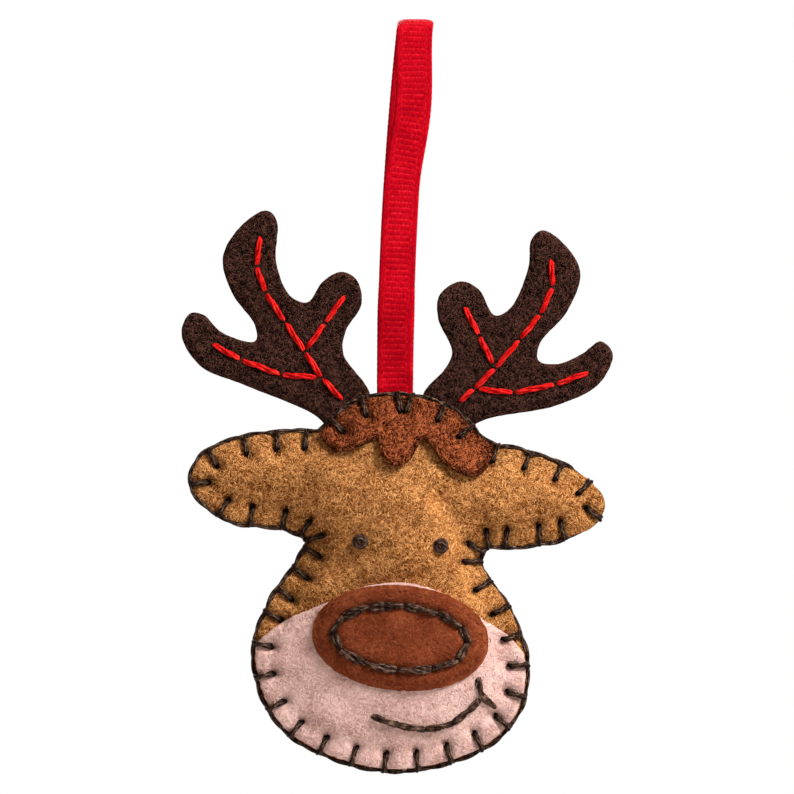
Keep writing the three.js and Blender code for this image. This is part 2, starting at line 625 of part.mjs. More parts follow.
for (const [side, { outline, rows: stitchRows }] of Object.entries(ANTLERS)) {
  const face = () => ANTLER_FELT / 2;
  const pattern = outlineOf(closedCurve(outline), FINE_OUTLINE_STEP);
  let felt = prism(pattern, ANTLER_FELT).subtract(edgeStitch.holes);
  for (const [row, points] of Object.entries(stitchRows)) {
    const { thread, holes } = runningStitches(toPoints(points), face, face);
    felt = felt.subtract(holes);
    addPiece(`${side}_antler_${row}_stitch`, thread, materials.redThread);
  }
  addPiece(`${side}_antler_felt`, felt, materials.brownFelt);
}

const loop = loopPath();
const acrossLoop = loop.map(() => new THREE.Vector3(1, 0, 0));
addPiece("ribbon_loop", sweep(loop, acrossLoop, ribbonSection), materials.ribbon);
addPiece("ribbon_front_end", ribbonEnd(-1, edgeStitch.holes), materials.ribbon);
addPiece("ribbon_back_end", ribbonEnd(1, edgeStitch.holes), materials.ribbon);

export default ornament;
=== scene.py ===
"""Dresses the stuffed felt reindeer-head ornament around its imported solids.

Shapes are worked out in millimetres on the pattern sheet that the felt pieces were cut from: x to the
right and z up, from the middle of the head's top edge, and y away from the viewer, from the seam plane.
The seam fold's place in the frame carries them to the row frame, in metres, when a mesh is made.
"""

import json
import logging
import math
from dataclasses import dataclass
from enum import Enum
from typing import Any, Callable, Iterable, Optional, Sequence, Union

import bpy
import numpy as np
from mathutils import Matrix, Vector
from mathutils.geometry import delaunay_2d_cdt

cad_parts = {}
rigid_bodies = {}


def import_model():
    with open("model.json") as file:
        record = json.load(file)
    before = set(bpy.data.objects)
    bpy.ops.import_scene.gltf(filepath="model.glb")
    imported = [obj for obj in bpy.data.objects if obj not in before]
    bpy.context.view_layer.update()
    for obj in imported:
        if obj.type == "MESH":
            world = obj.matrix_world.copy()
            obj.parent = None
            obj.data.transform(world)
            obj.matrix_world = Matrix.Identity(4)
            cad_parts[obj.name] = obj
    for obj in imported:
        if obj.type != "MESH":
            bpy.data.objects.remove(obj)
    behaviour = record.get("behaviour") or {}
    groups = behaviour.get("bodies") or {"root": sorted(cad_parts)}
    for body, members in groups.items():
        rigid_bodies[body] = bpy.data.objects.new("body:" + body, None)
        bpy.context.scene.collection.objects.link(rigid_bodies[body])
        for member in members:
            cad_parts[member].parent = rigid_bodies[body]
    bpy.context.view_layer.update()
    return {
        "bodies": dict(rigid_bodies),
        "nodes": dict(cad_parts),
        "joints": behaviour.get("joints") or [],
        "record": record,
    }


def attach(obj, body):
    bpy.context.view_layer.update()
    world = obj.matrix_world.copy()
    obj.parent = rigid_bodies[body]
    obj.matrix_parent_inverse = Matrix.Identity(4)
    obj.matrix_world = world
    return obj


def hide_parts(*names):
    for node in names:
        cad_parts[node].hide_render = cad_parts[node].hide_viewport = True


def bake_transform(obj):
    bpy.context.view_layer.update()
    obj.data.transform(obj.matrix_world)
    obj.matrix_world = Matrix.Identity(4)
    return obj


Array = np.ndarray
Height = Callable[[Array], Array]
Colour = tuple[float, float, float]
Point = tuple[float, float]
# A ripple's height, length and seed
Wave = tuple[float, float, int]
Object = bpy.types.Object
Material = bpy.types.Material

log = logging.getLogger("ornament")

MM = 0.001
WHOLE_TURN = 2 * math.pi
TINY = 1e-12
BACKWARD = np.array([0.0, 1.0, 0.0])

# Sizes shared with the solids
FELT = 1.2
ANTLER_FELT = 1.6
CLEARANCE = 0.3
FRONT_CROWN = 3.8
BACK_CROWN = 3.4
DRAW_IN = 5.0
SEAM_OPEN_RADIUS = 14.0
SEAM_CLOSE_RADIUS = 21.0
FILLING_TOP = 9.6
EDGE_STITCH_DEPTH = 2.8
RIBBON_WIDTH = 6.0
RIBBON = 0.5
LOOP_HEIGHT = 62.5
LOOP_RADIUS = 3.5
LOOP_LEAN = 3.4
LOOP_SPLAY = 1.0
LOOP_SPLAY_START = 34.0
FOLD_HEIGHT = 3.2
SEWN_LENGTH = 8.0
THINNEST = 0.35
RIB_PITCH = 0.95

# How finely outlines are drawn
SPAN_STEPS = 24
OUTLINE_STEP = 0.25
PATCH_STEP = 0.4
COARSE_STEP = 0.8

# Pattern outlines, as points that a smooth closed curve passes through: x to the right, z up
HEAD_POINTS = [
    # crown
    (-12.7, -6), (-9.6, -3.5), (-6.3, -1.1), (0, 0), (5.5, -0.8), (10.2, -2.9), (15.3, -7.8),
    # right ear
    (22, -9.5), (31.5, -13.6), (34.7, -17.9), (33, -21.2), (28, -23.3), (20, -24.6), (15, -24.9),
    # right cheek, chin and left cheek
    (13.9, -27), (15.2, -30.2), (18.9, -35.5), (21.7, -45.8), (19.7, -53.3), (13.9, -58.5), (0, -61.9),
    (-13.4, -58.4), (-19.8, -53.3), (-23.2, -43.2), (-20.9, -35), (-15.6, -27),
    # left ear
    (-14.4, -23.9), (-17.4, -21.8), (-27.8, -20.1), (-33.4, -15.2), (-32.6, -10.7), (-26.3, -7.3),
    (-17, -6.1),
]
HAIR_POINTS = [
    # beyond the crown, where the head's own edge trims it
    (-12.2, -1.5), (0, 5), (14, 0),
    # right lobe and notch
    (16, -8.5), (14.9, -11.9), (12.2, -12.9), (8.4, -10.9), (4.7, -6.6),
    # middle lobe and notch
    (3.1, -8.9), (2.1, -10.5), (0.3, -11.3), (-1.5, -10.5), (-2.3, -8.9), (-2.8, -6.5),
    # left lobe
    (-6.2, -8.1), (-9.6, -8.7), (-11.8, -6.8),
]
MUZZLE_POINTS = [
    # upper edge
    (-24.6, -43.4), (-21.4, -39.5), (-17, -36.6), (-11.5, -34.3), (-4.5, -31.4), (2, -30.9), (8.5, -32.9),
    (14.3, -36.9), (18.6, -39.6), (22, -43.8), (24, -49),
    # beyond the chin, where the head's own edge trims it
    (22, -64), (0, -68), (-22, -64),
]


class Side(Enum):
    """The two sides of the ornament, as the viewer sees them."""

    LEFT = "left"
    RIGHT = "right"


ANTLER_OUTLINES = {
    Side.LEFT: [
        (-4.2, 0.6), (-8.6, 7.2), (-8.2, 11), (-5.6, 15.4), (-6.3, 19.4), (-8.8, 20.9), (-12, 19.3),
        (-14.6, 15.8), (-17.5, 16.9), (-19.8, 22.5), (-19.7, 29.4), (-21.4, 31.1), (-25.6, 28.6),
        (-28.7, 23.3), (-27.2, 17.4), (-23.3, 11.8), (-23.3, 9.3), (-28.9, 10.8), (-31.9, 13.7),
        (-34.2, 13.9), (-35.6, 10.5), (-32.5, 5.2), (-24.4, 1.7), (-12.4, -3.8), (-9.9, -8.2), (-4.7, -5.4),
    ],
    Side.RIGHT: [
        (4.7, 0.5), (8.4, 4.8), (9.5, 7.6), (7.2, 13), (7.4, 17), (11, 19.3), (14, 17.9), (16.6, 13.6),
        (19.2, 14.8), (22.2, 21.5), (22.7, 26.2), (24.5, 27.8), (28.2, 25.5), (30.9, 20.7), (28.7, 14.3),
        (24.1, 8.8), (23.9, 6.1), (27, 5.5), (31.2, 7.2), (34.3, 9.3), (36.3, 7.2), (34, 2.2),
        (27, -1.4), (13.8, -4.3), (10.2, -8), (4.6, -5.2),
    ],
}
ANTLER_ROWS = {
    Side.LEFT: {
        "main": [
            (-22.5, 26.5), (-23.1, 21.8), (-21.6, 17.4), (-18.3, 12.5), (-15, 7.5), (-12.2, 3.2),
            (-8.9, -0.3),
        ],
        "outer": [(-30.2, 8.7), (-25.7, 6.2), (-19, 3.7), (-13.3, 3.3)],
        "inner": [(-8.5, 16.7), (-11.7, 12.3), (-14.5, 8.3)],
    },
    Side.RIGHT: {
        "main": [
            (26, 22.7), (26.3, 18.3), (24.2, 13.8), (20.8, 9.6), (16.7, 4.8), (13.2, 1.4), (10.9, -0.6),
        ],
        "outer": [(32, 4), (26.7, 2.1), (19.8, 0.7), (14.2, 1.3)],
        "inner": [(11.7, 14.8), (14, 10.2), (16.2, 5.8)],
    },
}
EYES = {Side.LEFT: (-5.8, -24.0), Side.RIGHT: (7.6, -24.7)}
SMILE_LINE = [(-3.6, -53), (0.6, -54.5), (5, -55.2), (9.4, -54.3), (13.9, -50.5)]
SMILE_CORNER_LINE = [(13.9, -46.9), (16.5, -51.4)]

# Runs of edge stitches: first place along the edge, pitch, count and how far the run gathers to one hole
EDGE_STITCH_RUNS = [
    (3.2, 5.9, 2, 0.0), (15.1, 2.2, 2, 0.6), (22.9, 5.6, 5, 0.0), (50.7, 6.8, 3, 0.0), (68.3, 5.8, 2, 0.0),
    (77.0, 1.7, 3, 0.0), (84.3, 5.1, 4, 0.0), (104.9, 5.57, 12, 0.0), (171.5, 4.4, 3, 0.0),
    (184.1, 1.6, 3, 0.0), (190.7, 5.4, 3, 0.0), (208.3, 6.2, 3, 0.0), (226.2, 5.0, 2, 0.0),
]
# Stretches of the edge where its thread slips behind the felt, at the right ear's tip and below the right
# ear: start, end and how far it slips
SLIPPED_EDGES = ((49.0, 62.0, 1.0), (81.5, 91.5, 0.4))
# The line over the right brow where the felt is painted paler: a painted highlight on the ridge, and partly
# felt stretched pale
BROW_HIGHLIGHT_LINE = ((7.0, -19.0), (9.2, -22.2), (10.9, -26.3), (11.2, -30.5), (12.5, -33.0))


# Numbers on arrays


def smoothstep(value: Array, low: float, high: float) -> Array:
    """Rises from 0 at low to 1 at high, with level ends."""
    share = np.clip((np.asarray(value, float) - low) / (high - low), 0.0, 1.0)
    return share * share * (3.0 - 2.0 * share)


def bell(away: Array, width: float) -> Array:
    """1 at no distance, falling as e to the minus square of the distance over a width."""
    return np.exp(-((away / width) ** 2))


def spline(points: Array, closed: bool, per_span: int) -> Array:
    """Centripetal Catmull-Rom curve: each span is a cubic whose end slopes weigh the chords by their roots.

    Args:
        points: Places that the curve passes through, (..., n, d).
        closed: Whether it is a loop.
        per_span: Steps from each place to the next.

    Returns:
        The curve's points, (..., m, d).
    """
    points = np.asarray(points, float)
    shortest = 1e-6
    if closed:
        before, here, after, beyond = (np.roll(points, shift, axis=-2) for shift in (1, 0, -1, -2))
    else:
        first = 2 * points[..., :1, :] - points[..., 1:2, :]
        last = 2 * points[..., -1:, :] - points[..., -2:-1, :]
        row = np.concatenate([first, points, last], axis=-2)
        before, here, after, beyond = row[..., :-3, :], row[..., 1:-2, :], row[..., 2:-1, :], row[..., 3:, :]

    def root_chord(a: Array, b: Array) -> Array:
        """The square root of the distance between two places."""
        return np.sqrt(np.maximum(np.linalg.norm(b - a, axis=-1, keepdims=True), shortest))

    d0, d1, d2 = root_chord(before, here), root_chord(here, after), root_chord(after, beyond)
    leave = ((here - before) / d0 - (after - before) / (d0 + d1) + (after - here) / d1) * d1
    arrive = ((after - here) / d1 - (beyond - here) / (d1 + d2) + (beyond - after) / d2) * d1
    t = np.linspace(0.0, 1.0, per_span, endpoint=False)[:, None]
    curve = (
        (2 * t**3 - 3 * t**2 + 1) * here[..., None, :]
        + (t**3 - 2 * t**2 + t) * leave[..., None, :]
        + (3 * t**2 - 2 * t**3) * after[..., None, :]
        + (t**3 - t**2) * arrive[..., None, :]
    )
    curve = curve.reshape(*curve.shape[:-3], -1, curve.shape[-1])
    return curve if closed else np.concatenate([curve, points[..., -1:, :]], axis=-2)


def reach_along(line: Array) -> Array:
    """Length from a line's first point to each of its points, (..., n)."""
    steps = np.linalg.norm(np.diff(line, axis=-2), axis=-1)
    return np.concatenate([np.zeros_like(steps[..., :1]), np.cumsum(steps, axis=-1)], axis=-1)


def resample(line: Array, step: float, closed: bool) -> Array:
    """Points of a line at even distances along it.

    Args:
        line: The line's points, (n, d).
        step: About how far apart the new points lie.
        closed: Whether it is a loop.

    Returns:
        The new points, over four spans or more.
    """
    fewest = 4
    loop = np.vstack([line, line[:1]]) if closed else line
    reach = reach_along(loop)
    spans = max(fewest, round(reach[-1] / step))
    at = np.linspace(0.0, reach[-1], spans + 1)[: spans if closed else spans + 1]
    return np.stack([np.interp(at, reach, axis) for axis in loop.T], axis=1)


def cut_line(points: Sequence[Point], step: float = OUTLINE_STEP) -> Array:
    """The smooth closed outline through a pattern's points."""
    return resample(spline(np.array(points), True, SPAN_STEPS), step, True)


def places_on(outline: Array, places: Array) -> tuple[Array, Array]:
    """Points and directions at distances along a closed outline.

    Args:
        outline: The outline's points, clockwise.
        places: Distances along it.

    Returns:
        The points there, and unit directions outward, square to the chord of a short nudge either way.
    """
    loop = np.vstack([outline, outline[:1]])
    reach = reach_along(loop)
    nudge = 0.2

    def at(place: Array) -> Array:
        """Points at those distances."""
        return np.stack([np.interp(place % reach[-1], reach, axis) for axis in loop.T], axis=-1)

    tangent = at(places + nudge) - at(places - nudge)
    tangent /= np.linalg.norm(tangent, axis=-1, keepdims=True)
    return at(places), np.stack([-tangent[..., 1], tangent[..., 0]], axis=-1)


def is_inside(outline: Array, points: Array) -> Array:
    """Whether points lie inside a closed outline, by counting the edges that a level ray crosses.

    Args:
        outline: The outline's points.
        points: Places, (..., 2).

    Returns:
        True where the count is odd.
    """
    ax, az = outline[:, 0], outline[:, 1]
    bx, bz = np.roll(ax, -1), np.roll(az, -1)
    px, pz = points[..., 0, None], points[..., 1, None]
    spans = (az > pz) != (bz > pz)
    crossing = ax + (pz - az) * (bx - ax) / np.where(bz == az, TINY, bz - az)
    return ((spans & (px < crossing)).sum(-1) % 2) == 1


def segment_distance(starts: Array, ends: Array, points: Array) -> tuple[Array, Array]:
    """Distance from points to segments, square to a segment between its ends.

    Args:
        starts: Where the segments start, (n, 2).
        ends: Where they end.
        points: Places, (..., 2).

    Returns:
        The distance from each place to each segment, and the share of the way along it that is nearest.
    """
    edge = ends - starts
    away = points[..., None, :] - starts
    share = np.clip((away * edge).sum(-1) / np.maximum((edge * edge).sum(-1), TINY), 0.0, 1.0)
    return np.linalg.norm(away - share[..., None] * edge, axis=-1), share


def nearest(places: Array, points: Array) -> Array:
    """Distance from each point to the nearest of some places."""
    return segment_distance(places, places, points)[0].min(-1)


def edge_depth(outline: Array, points: Array) -> Array:
    """Distance from points to an outline's edge.

    Args:
        outline: The closed outline's points.
        points: Places, (..., 2).

    Returns:
        The distance at each place, negative outside the outline.
    """
    at_once = 4000
    flat = points.reshape(-1, 2)
    ends = np.roll(outline, -1, axis=0)
    parts = np.array_split(flat, max(1, len(flat) // at_once))
    near = np.concatenate([segment_distance(outline, ends, part)[0].min(-1) for part in parts])
    signed = np.where(is_inside(outline, flat), near, -near)
    return signed.reshape(points.shape[:-1])


@dataclass
class Lattice:
    """Values on a square lattice, read back between its nodes by bilinear blending."""

    low: Array
    step: float
    values: Array

    SHORT_OF_LAST = 1.001

    @classmethod
    def around(cls, outline: Array, step: float, margin: float) -> tuple["Lattice", Array]:
        """An empty lattice over an outline's box.

        Args:
            outline: The outline's points.
            step: Distance between nodes.
            margin: How far it goes past the box.

        Returns:
            The lattice, and its nodes' places, (rows, columns, 2).
        """
        low = outline.min(0) - margin
        columns, rows = np.ceil((outline.max(0) + margin - low) / step).astype(int) + 1
        x = low[0] + step * np.arange(columns)
        z = low[1] + step * np.arange(rows)
        return cls(low, step, np.zeros((rows, columns))), np.stack(np.meshgrid(x, z), axis=-1)

    def __call__(self, points: Array) -> Array:
        """Reads the lattice: the four nodes round a place, each weighed by how near it is.

        Args:
            points: Places, (..., 2).

        Returns:
            The values there.
        """
        rows, columns = self.values.shape
        at = (points - self.low) / self.step
        u = np.clip(at[..., 0], 0, columns - self.SHORT_OF_LAST)
        v = np.clip(at[..., 1], 0, rows - self.SHORT_OF_LAST)
        i, j = u.astype(int), v.astype(int)
        s, t = u - i, v - j
        low = self.values[j, i] * (1 - s) + self.values[j, i + 1] * s
        high = self.values[j + 1, i] * (1 - s) + self.values[j + 1, i + 1] * s
        return low * (1 - t) + high * t


def ripple(points: Array, height: float, wave: float, seed: int) -> Array:
    """Smooth unevenness: a sum of sines in random directions.

    Args:
        points: Places, (..., d).
        height: About how far it rises and falls.
        wave: About how long the waves are.
        seed: Number that picks the waves' directions and phases.

    Returns:
        The sum at each place.
    """
    waves = 7
    shortest, longest = 0.7, 1.5
    random = np.random.default_rng(seed)
    ways = random.normal(size=(waves, points.shape[-1]))
    ways /= np.linalg.norm(ways, axis=1, keepdims=True)
    ways *= WHOLE_TURN / (wave * random.uniform(shortest, longest, size=(waves, 1)))
    phases = random.uniform(0, WHOLE_TURN, size=waves)
    return height * (np.sin(points @ ways.T + phases).sum(-1) / math.sqrt(waves))


def lattice_points(outline: Array, step: float, seed: int) -> Array:
    """Points of a hexagonal lattice, each moved a little at random.

    Args:
        outline: The outline whose box the lattice covers.
        step: Distance between neighbours.
        seed: Number that picks the moves.

    Returns:
        The points, (n, 2).
    """
    jitter = 0.15
    random = np.random.default_rng(seed)
    low, high = outline.min(0), outline.max(0)
    rows = np.arange(low[1], high[1], step * math.sqrt(0.75))
    x, z = np.meshgrid(np.arange(low[0], high[0], step), rows)
    x = x + 0.5 * step * (np.arange(len(rows)) % 2)[:, None]
    points = np.stack([x, z], axis=-1).reshape(-1, 2)
    return points + random.uniform(-jitter, jitter, points.shape) * step


def triangulated(rim: Array, inside: Array) -> tuple[Array, Array]:
    """Triangles over a closed rim, with points inside it as further corners.

    Args:
        rim: The rim's points, anticlockwise.
        inside: Points inside it.

    Returns:
        The corners, with the rim's first, and the triangles.
    """
    within, same_place = 1, 1e-6
    corners = np.arange(len(rim))
    edges = np.stack([corners, np.roll(corners, -1)], axis=1)
    flat = [Vector(point) for point in np.vstack([rim, inside]).tolist()]
    points, _, triangles, *_ = delaunay_2d_cdt(flat, edges.tolist(), [], within, same_place)
    return np.array([tuple(point) for point in points]), np.array(triangles)


def anticlockwise(rim: Array) -> Array:
    """A closed outline in the order whose triangles face the viewer."""
    x, z = rim.T
    return rim if np.dot(x, np.roll(z, -1)) > np.dot(z, np.roll(x, -1)) else rim[::-1]


def outward_from(rim: Array) -> Array:
    """Unit directions out of an anticlockwise outline, square to the chord of each point's neighbours."""
    tangent = np.roll(rim, -1, axis=0) - np.roll(rim, 1, axis=0)
    outward = np.stack([tangent[:, 1], -tangent[:, 0]], axis=1)
    return outward / np.linalg.norm(outward, axis=1, keepdims=True)


def lifted(points: Array, height: Array) -> Array:
    """Places on the pattern sheet raised by a height towards the viewer."""
    return np.stack([points[..., 0], -np.broadcast_to(height, points.shape[:-1]), points[..., 1]], axis=-1)


# Meshes


class Sheet:
    """The pattern sheet's place in the row frame."""

    def __init__(self, fold_m: Sequence[float]) -> None:
        """Takes the seam fold's place, which lies FOLD_HEIGHT above the sheet's origin."""
        self.origin = np.array(fold_m, float) / MM - np.array([0.0, 0.0, FOLD_HEIGHT])

    def to_row(self, points: Array) -> Array:
        """Points of the pattern sheet in the row frame, in metres."""
        return (points + self.origin) * MM


@dataclass
class Piece:
    """A mesh in the making: vertices in millimetres, and faces as arrays with one row each."""

    vertices: Array
    faces: list[Array]
    uv: Optional[Array] = None
    # Painted shade and highlight at each vertex, kept as the mesh attribute pressed
    pressed: Optional[Array] = None

    @staticmethod
    def joined(parts: Iterable["Piece"]) -> "Piece":
        """Several meshes as one.

        Args:
            parts: The meshes, each with its UV map.

        Returns:
            The whole.
        """
        parts = list(parts)
        starts = np.cumsum([0] + [len(p.vertices) for p in parts[:-1]])
        faces = [face + start for p, start in zip(parts, starts) for face in p.faces]
        vertices, uv = np.concatenate([p.vertices for p in parts]), np.concatenate([p.uv for p in parts])
        return Piece(vertices, faces, uv)

    def to_object(self, name: str, sheet: Sheet, finish: Material) -> Object:
        """Makes the Blender object, smooth-shaded, at the origin, with its place in its mesh.

        Args:
            name: The piece's name.
            sheet: The pattern sheet's place.
            finish: Its material.

        Returns:
            The linked object.
        """
        mesh = bpy.data.meshes.new(name)
        corners = np.concatenate([f.ravel() for f in self.faces]).astype(np.int32)
        sizes = np.concatenate([np.full(len(f), f.shape[1], np.int32) for f in self.faces])
        starts = np.concatenate([[0], np.cumsum(sizes)[:-1]]).astype(np.int32)
        mesh.vertices.add(len(self.vertices))
        mesh.vertices.foreach_set("co", sheet.to_row(self.vertices).astype(np.float32).ravel())
        mesh.loops.add(len(corners))
        mesh.loops.foreach_set("vertex_index", corners)
        mesh.polygons.add(len(sizes))
        mesh.polygons.foreach_set("loop_start", starts)
        mesh.polygons.foreach_set("use_smooth", np.ones(len(sizes), bool))
        if self.uv is not None:
            layer = mesh.uv_layers.new(name="UVMap")
            layer.uv.foreach_set("vector", self.uv[corners].astype(np.float32).ravel())
        # The painted shade and highlight go to the attribute pressed
        if self.pressed is not None:
            mark = mesh.attributes.new("pressed", "FLOAT", "POINT")
            mark.data.foreach_set("value", self.pressed.astype(np.float32))
        mesh.update(calc_edges=True)
        mesh.validate()
        mesh.materials.append(finish)
        made = bpy.data.objects.new(name, mesh)
        bpy.context.scene.collection.objects.link(made)
        return made


def fitted(made: Object, node: Optional[str] = None) -> Object:
    """Fixes a piece to the ornament's body.

    Args:
        made: The piece.
        node: The solid whose place it takes, if it has one.

    Returns:
        The piece.
    """
    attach(made, "ornament")
    if node is not None:
        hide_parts(node)
    return made


def tube_faces(runs: int, rows: int, columns: int, closed: bool = False) -> list[Array]:
    """Quads over several tubes of vertices, and a face over each end of an open one.

    Args:
        runs: How many tubes follow each other.
        rows: Rings of vertices in each.
        columns: Vertices in a ring.
        closed: Whether the last ring leads back to the first.

    Returns:
        The quads, and the first ends and the last ends if there are any.
    """
    i, j = np.meshgrid(np.arange(rows if closed else rows - 1), np.arange(columns), indexing="ij")
    up, right = (i + 1) % rows, (j + 1) % columns
    one = np.stack([i * columns + j, i * columns + right, up * columns + right, up * columns + j], axis=-1)
    first = np.arange(runs)[:, None] * rows * columns
    quads = (one.reshape(1, -1, 4) + first[..., None]).reshape(-1, 4)
    around = np.arange(columns)
    return [quads] if closed else [quads, first + around[::-1], first + (rows - 1) * columns + around]


def uv_map(u: Array, v: Array, shape: tuple[int, ...]) -> Array:
    """One row of u and v for each vertex of grids of a shape."""
    return np.stack([np.broadcast_to(u, shape).ravel(), np.broadcast_to(v, shape).ravel()], axis=1)


def frames_along(path: Array, across: Array, closed: bool) -> tuple[Array, Array]:
    """Directions square to a path: across it, less its part along the path, and up from both.

    Args:
        path: Points, (..., n, 3).
        across: Rough directions across it.
        closed: Whether it is a loop.

    Returns:
        Unit directions across and up, (..., n, 3) each.
    """
    if closed:
        along = np.roll(path, -1, axis=-2) - np.roll(path, 1, axis=-2)
    else:
        along = np.gradient(path, axis=-2)
    along /= np.maximum(np.linalg.norm(along, axis=-1, keepdims=True), TINY)
    side = across - (across * along).sum(-1, keepdims=True) * along
    side /= np.maximum(np.linalg.norm(side, axis=-1, keepdims=True), TINY)
    return side, np.cross(along, side)


@dataclass(frozen=True)
class Strands:
    """How a thread is laid up: strands side by side, turning about each other, each of twisted plies."""

    count: int = 2
    radius: float = 0.23
    spacing: float = 0.2
    turn: float = 7.0
    plies: int = 3
    ply_turn: float = 1.1
    ply_relief: float = 0.2
    sides: int = 9

    MM_A_CM = 10

    def lay(self, path: Array, across: Array, closed: bool, spread: Union[Array, float] = 1.0) -> Piece:
        """Carries each strand's lobed section along paths.

        A strand's middle circles the path at spacing, once every turn, and its section's radius is
        radius times 1 plus a cosine with one lobe a ply, which turns once every ply_turn.

        Args:
            path: Points of one path or several of one length, (..., n, 3).
            across: A direction across the path at each point.
            closed: Whether each is a loop.
            spread: How far the strands open at each point, as a factor on spacing.

        Returns:
            The strands' mesh, with u round each strand and v along it in centimetres.
        """
        path = path.reshape(-1, *path.shape[-2:])
        across = np.broadcast_to(across, path.shape)
        runs, points = path.shape[:2]
        side, up = frames_along(path, across, closed)
        whole = np.concatenate([path, path[:, :1]], axis=1) if closed else path
        reach = reach_along(whole)
        length = reach[:, -1:]
        reach = reach[:, :points]

        def turns(pitch: float) -> Array:
            """Turns made up to each point, a whole number at the end of a closed path."""
            full = np.maximum(np.round(length / pitch), 1) if closed else length / pitch
            return full * reach / length

        open_by = np.broadcast_to(spread, (runs, points))
        share = np.arange(self.count) / self.count
        lay_angle = WHOLE_TURN * (share[None, :, None] + turns(self.turn)[:, None, :])
        middle = path[:, None] + self.spacing * open_by[:, None, :, None] * (
            np.cos(lay_angle)[..., None] * side[:, None] + np.sin(lay_angle)[..., None] * up[:, None]
        )
        angle = WHOLE_TURN * np.arange(self.sides) / self.sides
        ply_angle = self.plies * (angle - WHOLE_TURN * turns(self.ply_turn)[:, None, :, None])
        shape = (runs, self.count, points, self.sides)
        radius = np.broadcast_to(self.radius * (1 + self.ply_relief * np.cos(ply_angle)), shape)
        ring_side, ring_up = side[:, None, :, None, :], up[:, None, :, None, :]
        ring = np.cos(angle)[:, None] * ring_side + np.sin(angle)[:, None] * ring_up
        vertices = middle[..., None, :] + radius[..., None] * ring
        faces = tube_faces(runs * self.count, points, self.sides, closed)
        along = (reach / self.MM_A_CM)[:, None, :, None]
        return Piece(vertices.reshape(-1, 3), faces, uv_map(angle / WHOLE_TURN, along, shape))


# Shader graphs


@dataclass(frozen=True)
class Value:
    """A shader socket whose operators add Math nodes."""

    graph: "Graph"
    socket: bpy.types.NodeSocket

    def math(self, operation: str, *values: Any) -> "Value":
        """A Math node on values."""
        return self.graph.node("ShaderNodeMath", {"operation": operation}, dict(enumerate(values)))

    def __add__(self, other: Any) -> "Value":
        """This plus other."""
        return self.math("ADD", self, other)

    __radd__ = __add__

    def __sub__(self, other: Any) -> "Value":
        """This minus other."""
        return self.math("SUBTRACT", self, other)

    def __rsub__(self, other: Any) -> "Value":
        """Other minus this."""
        return self.math("SUBTRACT", other, self)

    def __mul__(self, other: Any) -> "Value":
        """This times other."""
        return self.math("MULTIPLY", self, other)

    __rmul__ = __mul__

    def __abs__(self) -> "Value":
        """How far this is from nought."""
        return self.math("ABSOLUTE", self)

    def highest(self, other: Any) -> "Value":
        """The greater of this and other."""
        return self.math("MAXIMUM", self, other)

    def ramp(self, low: float, high: float, to_low: float = 0.0, to_high: float = 1.0) -> "Value":
        """This carried from one range to another, with the ends held."""
        inputs = {"Value": self, 1: low, 2: high, 3: to_low, 4: to_high}
        return self.graph.node("ShaderNodeMapRange", {"clamp": True}, inputs)

    def part(self, axis: str) -> "Value":
        """One coordinate of this vector."""
        return self.graph.node("ShaderNodeSeparateXYZ", {}, {0: self}, axis)


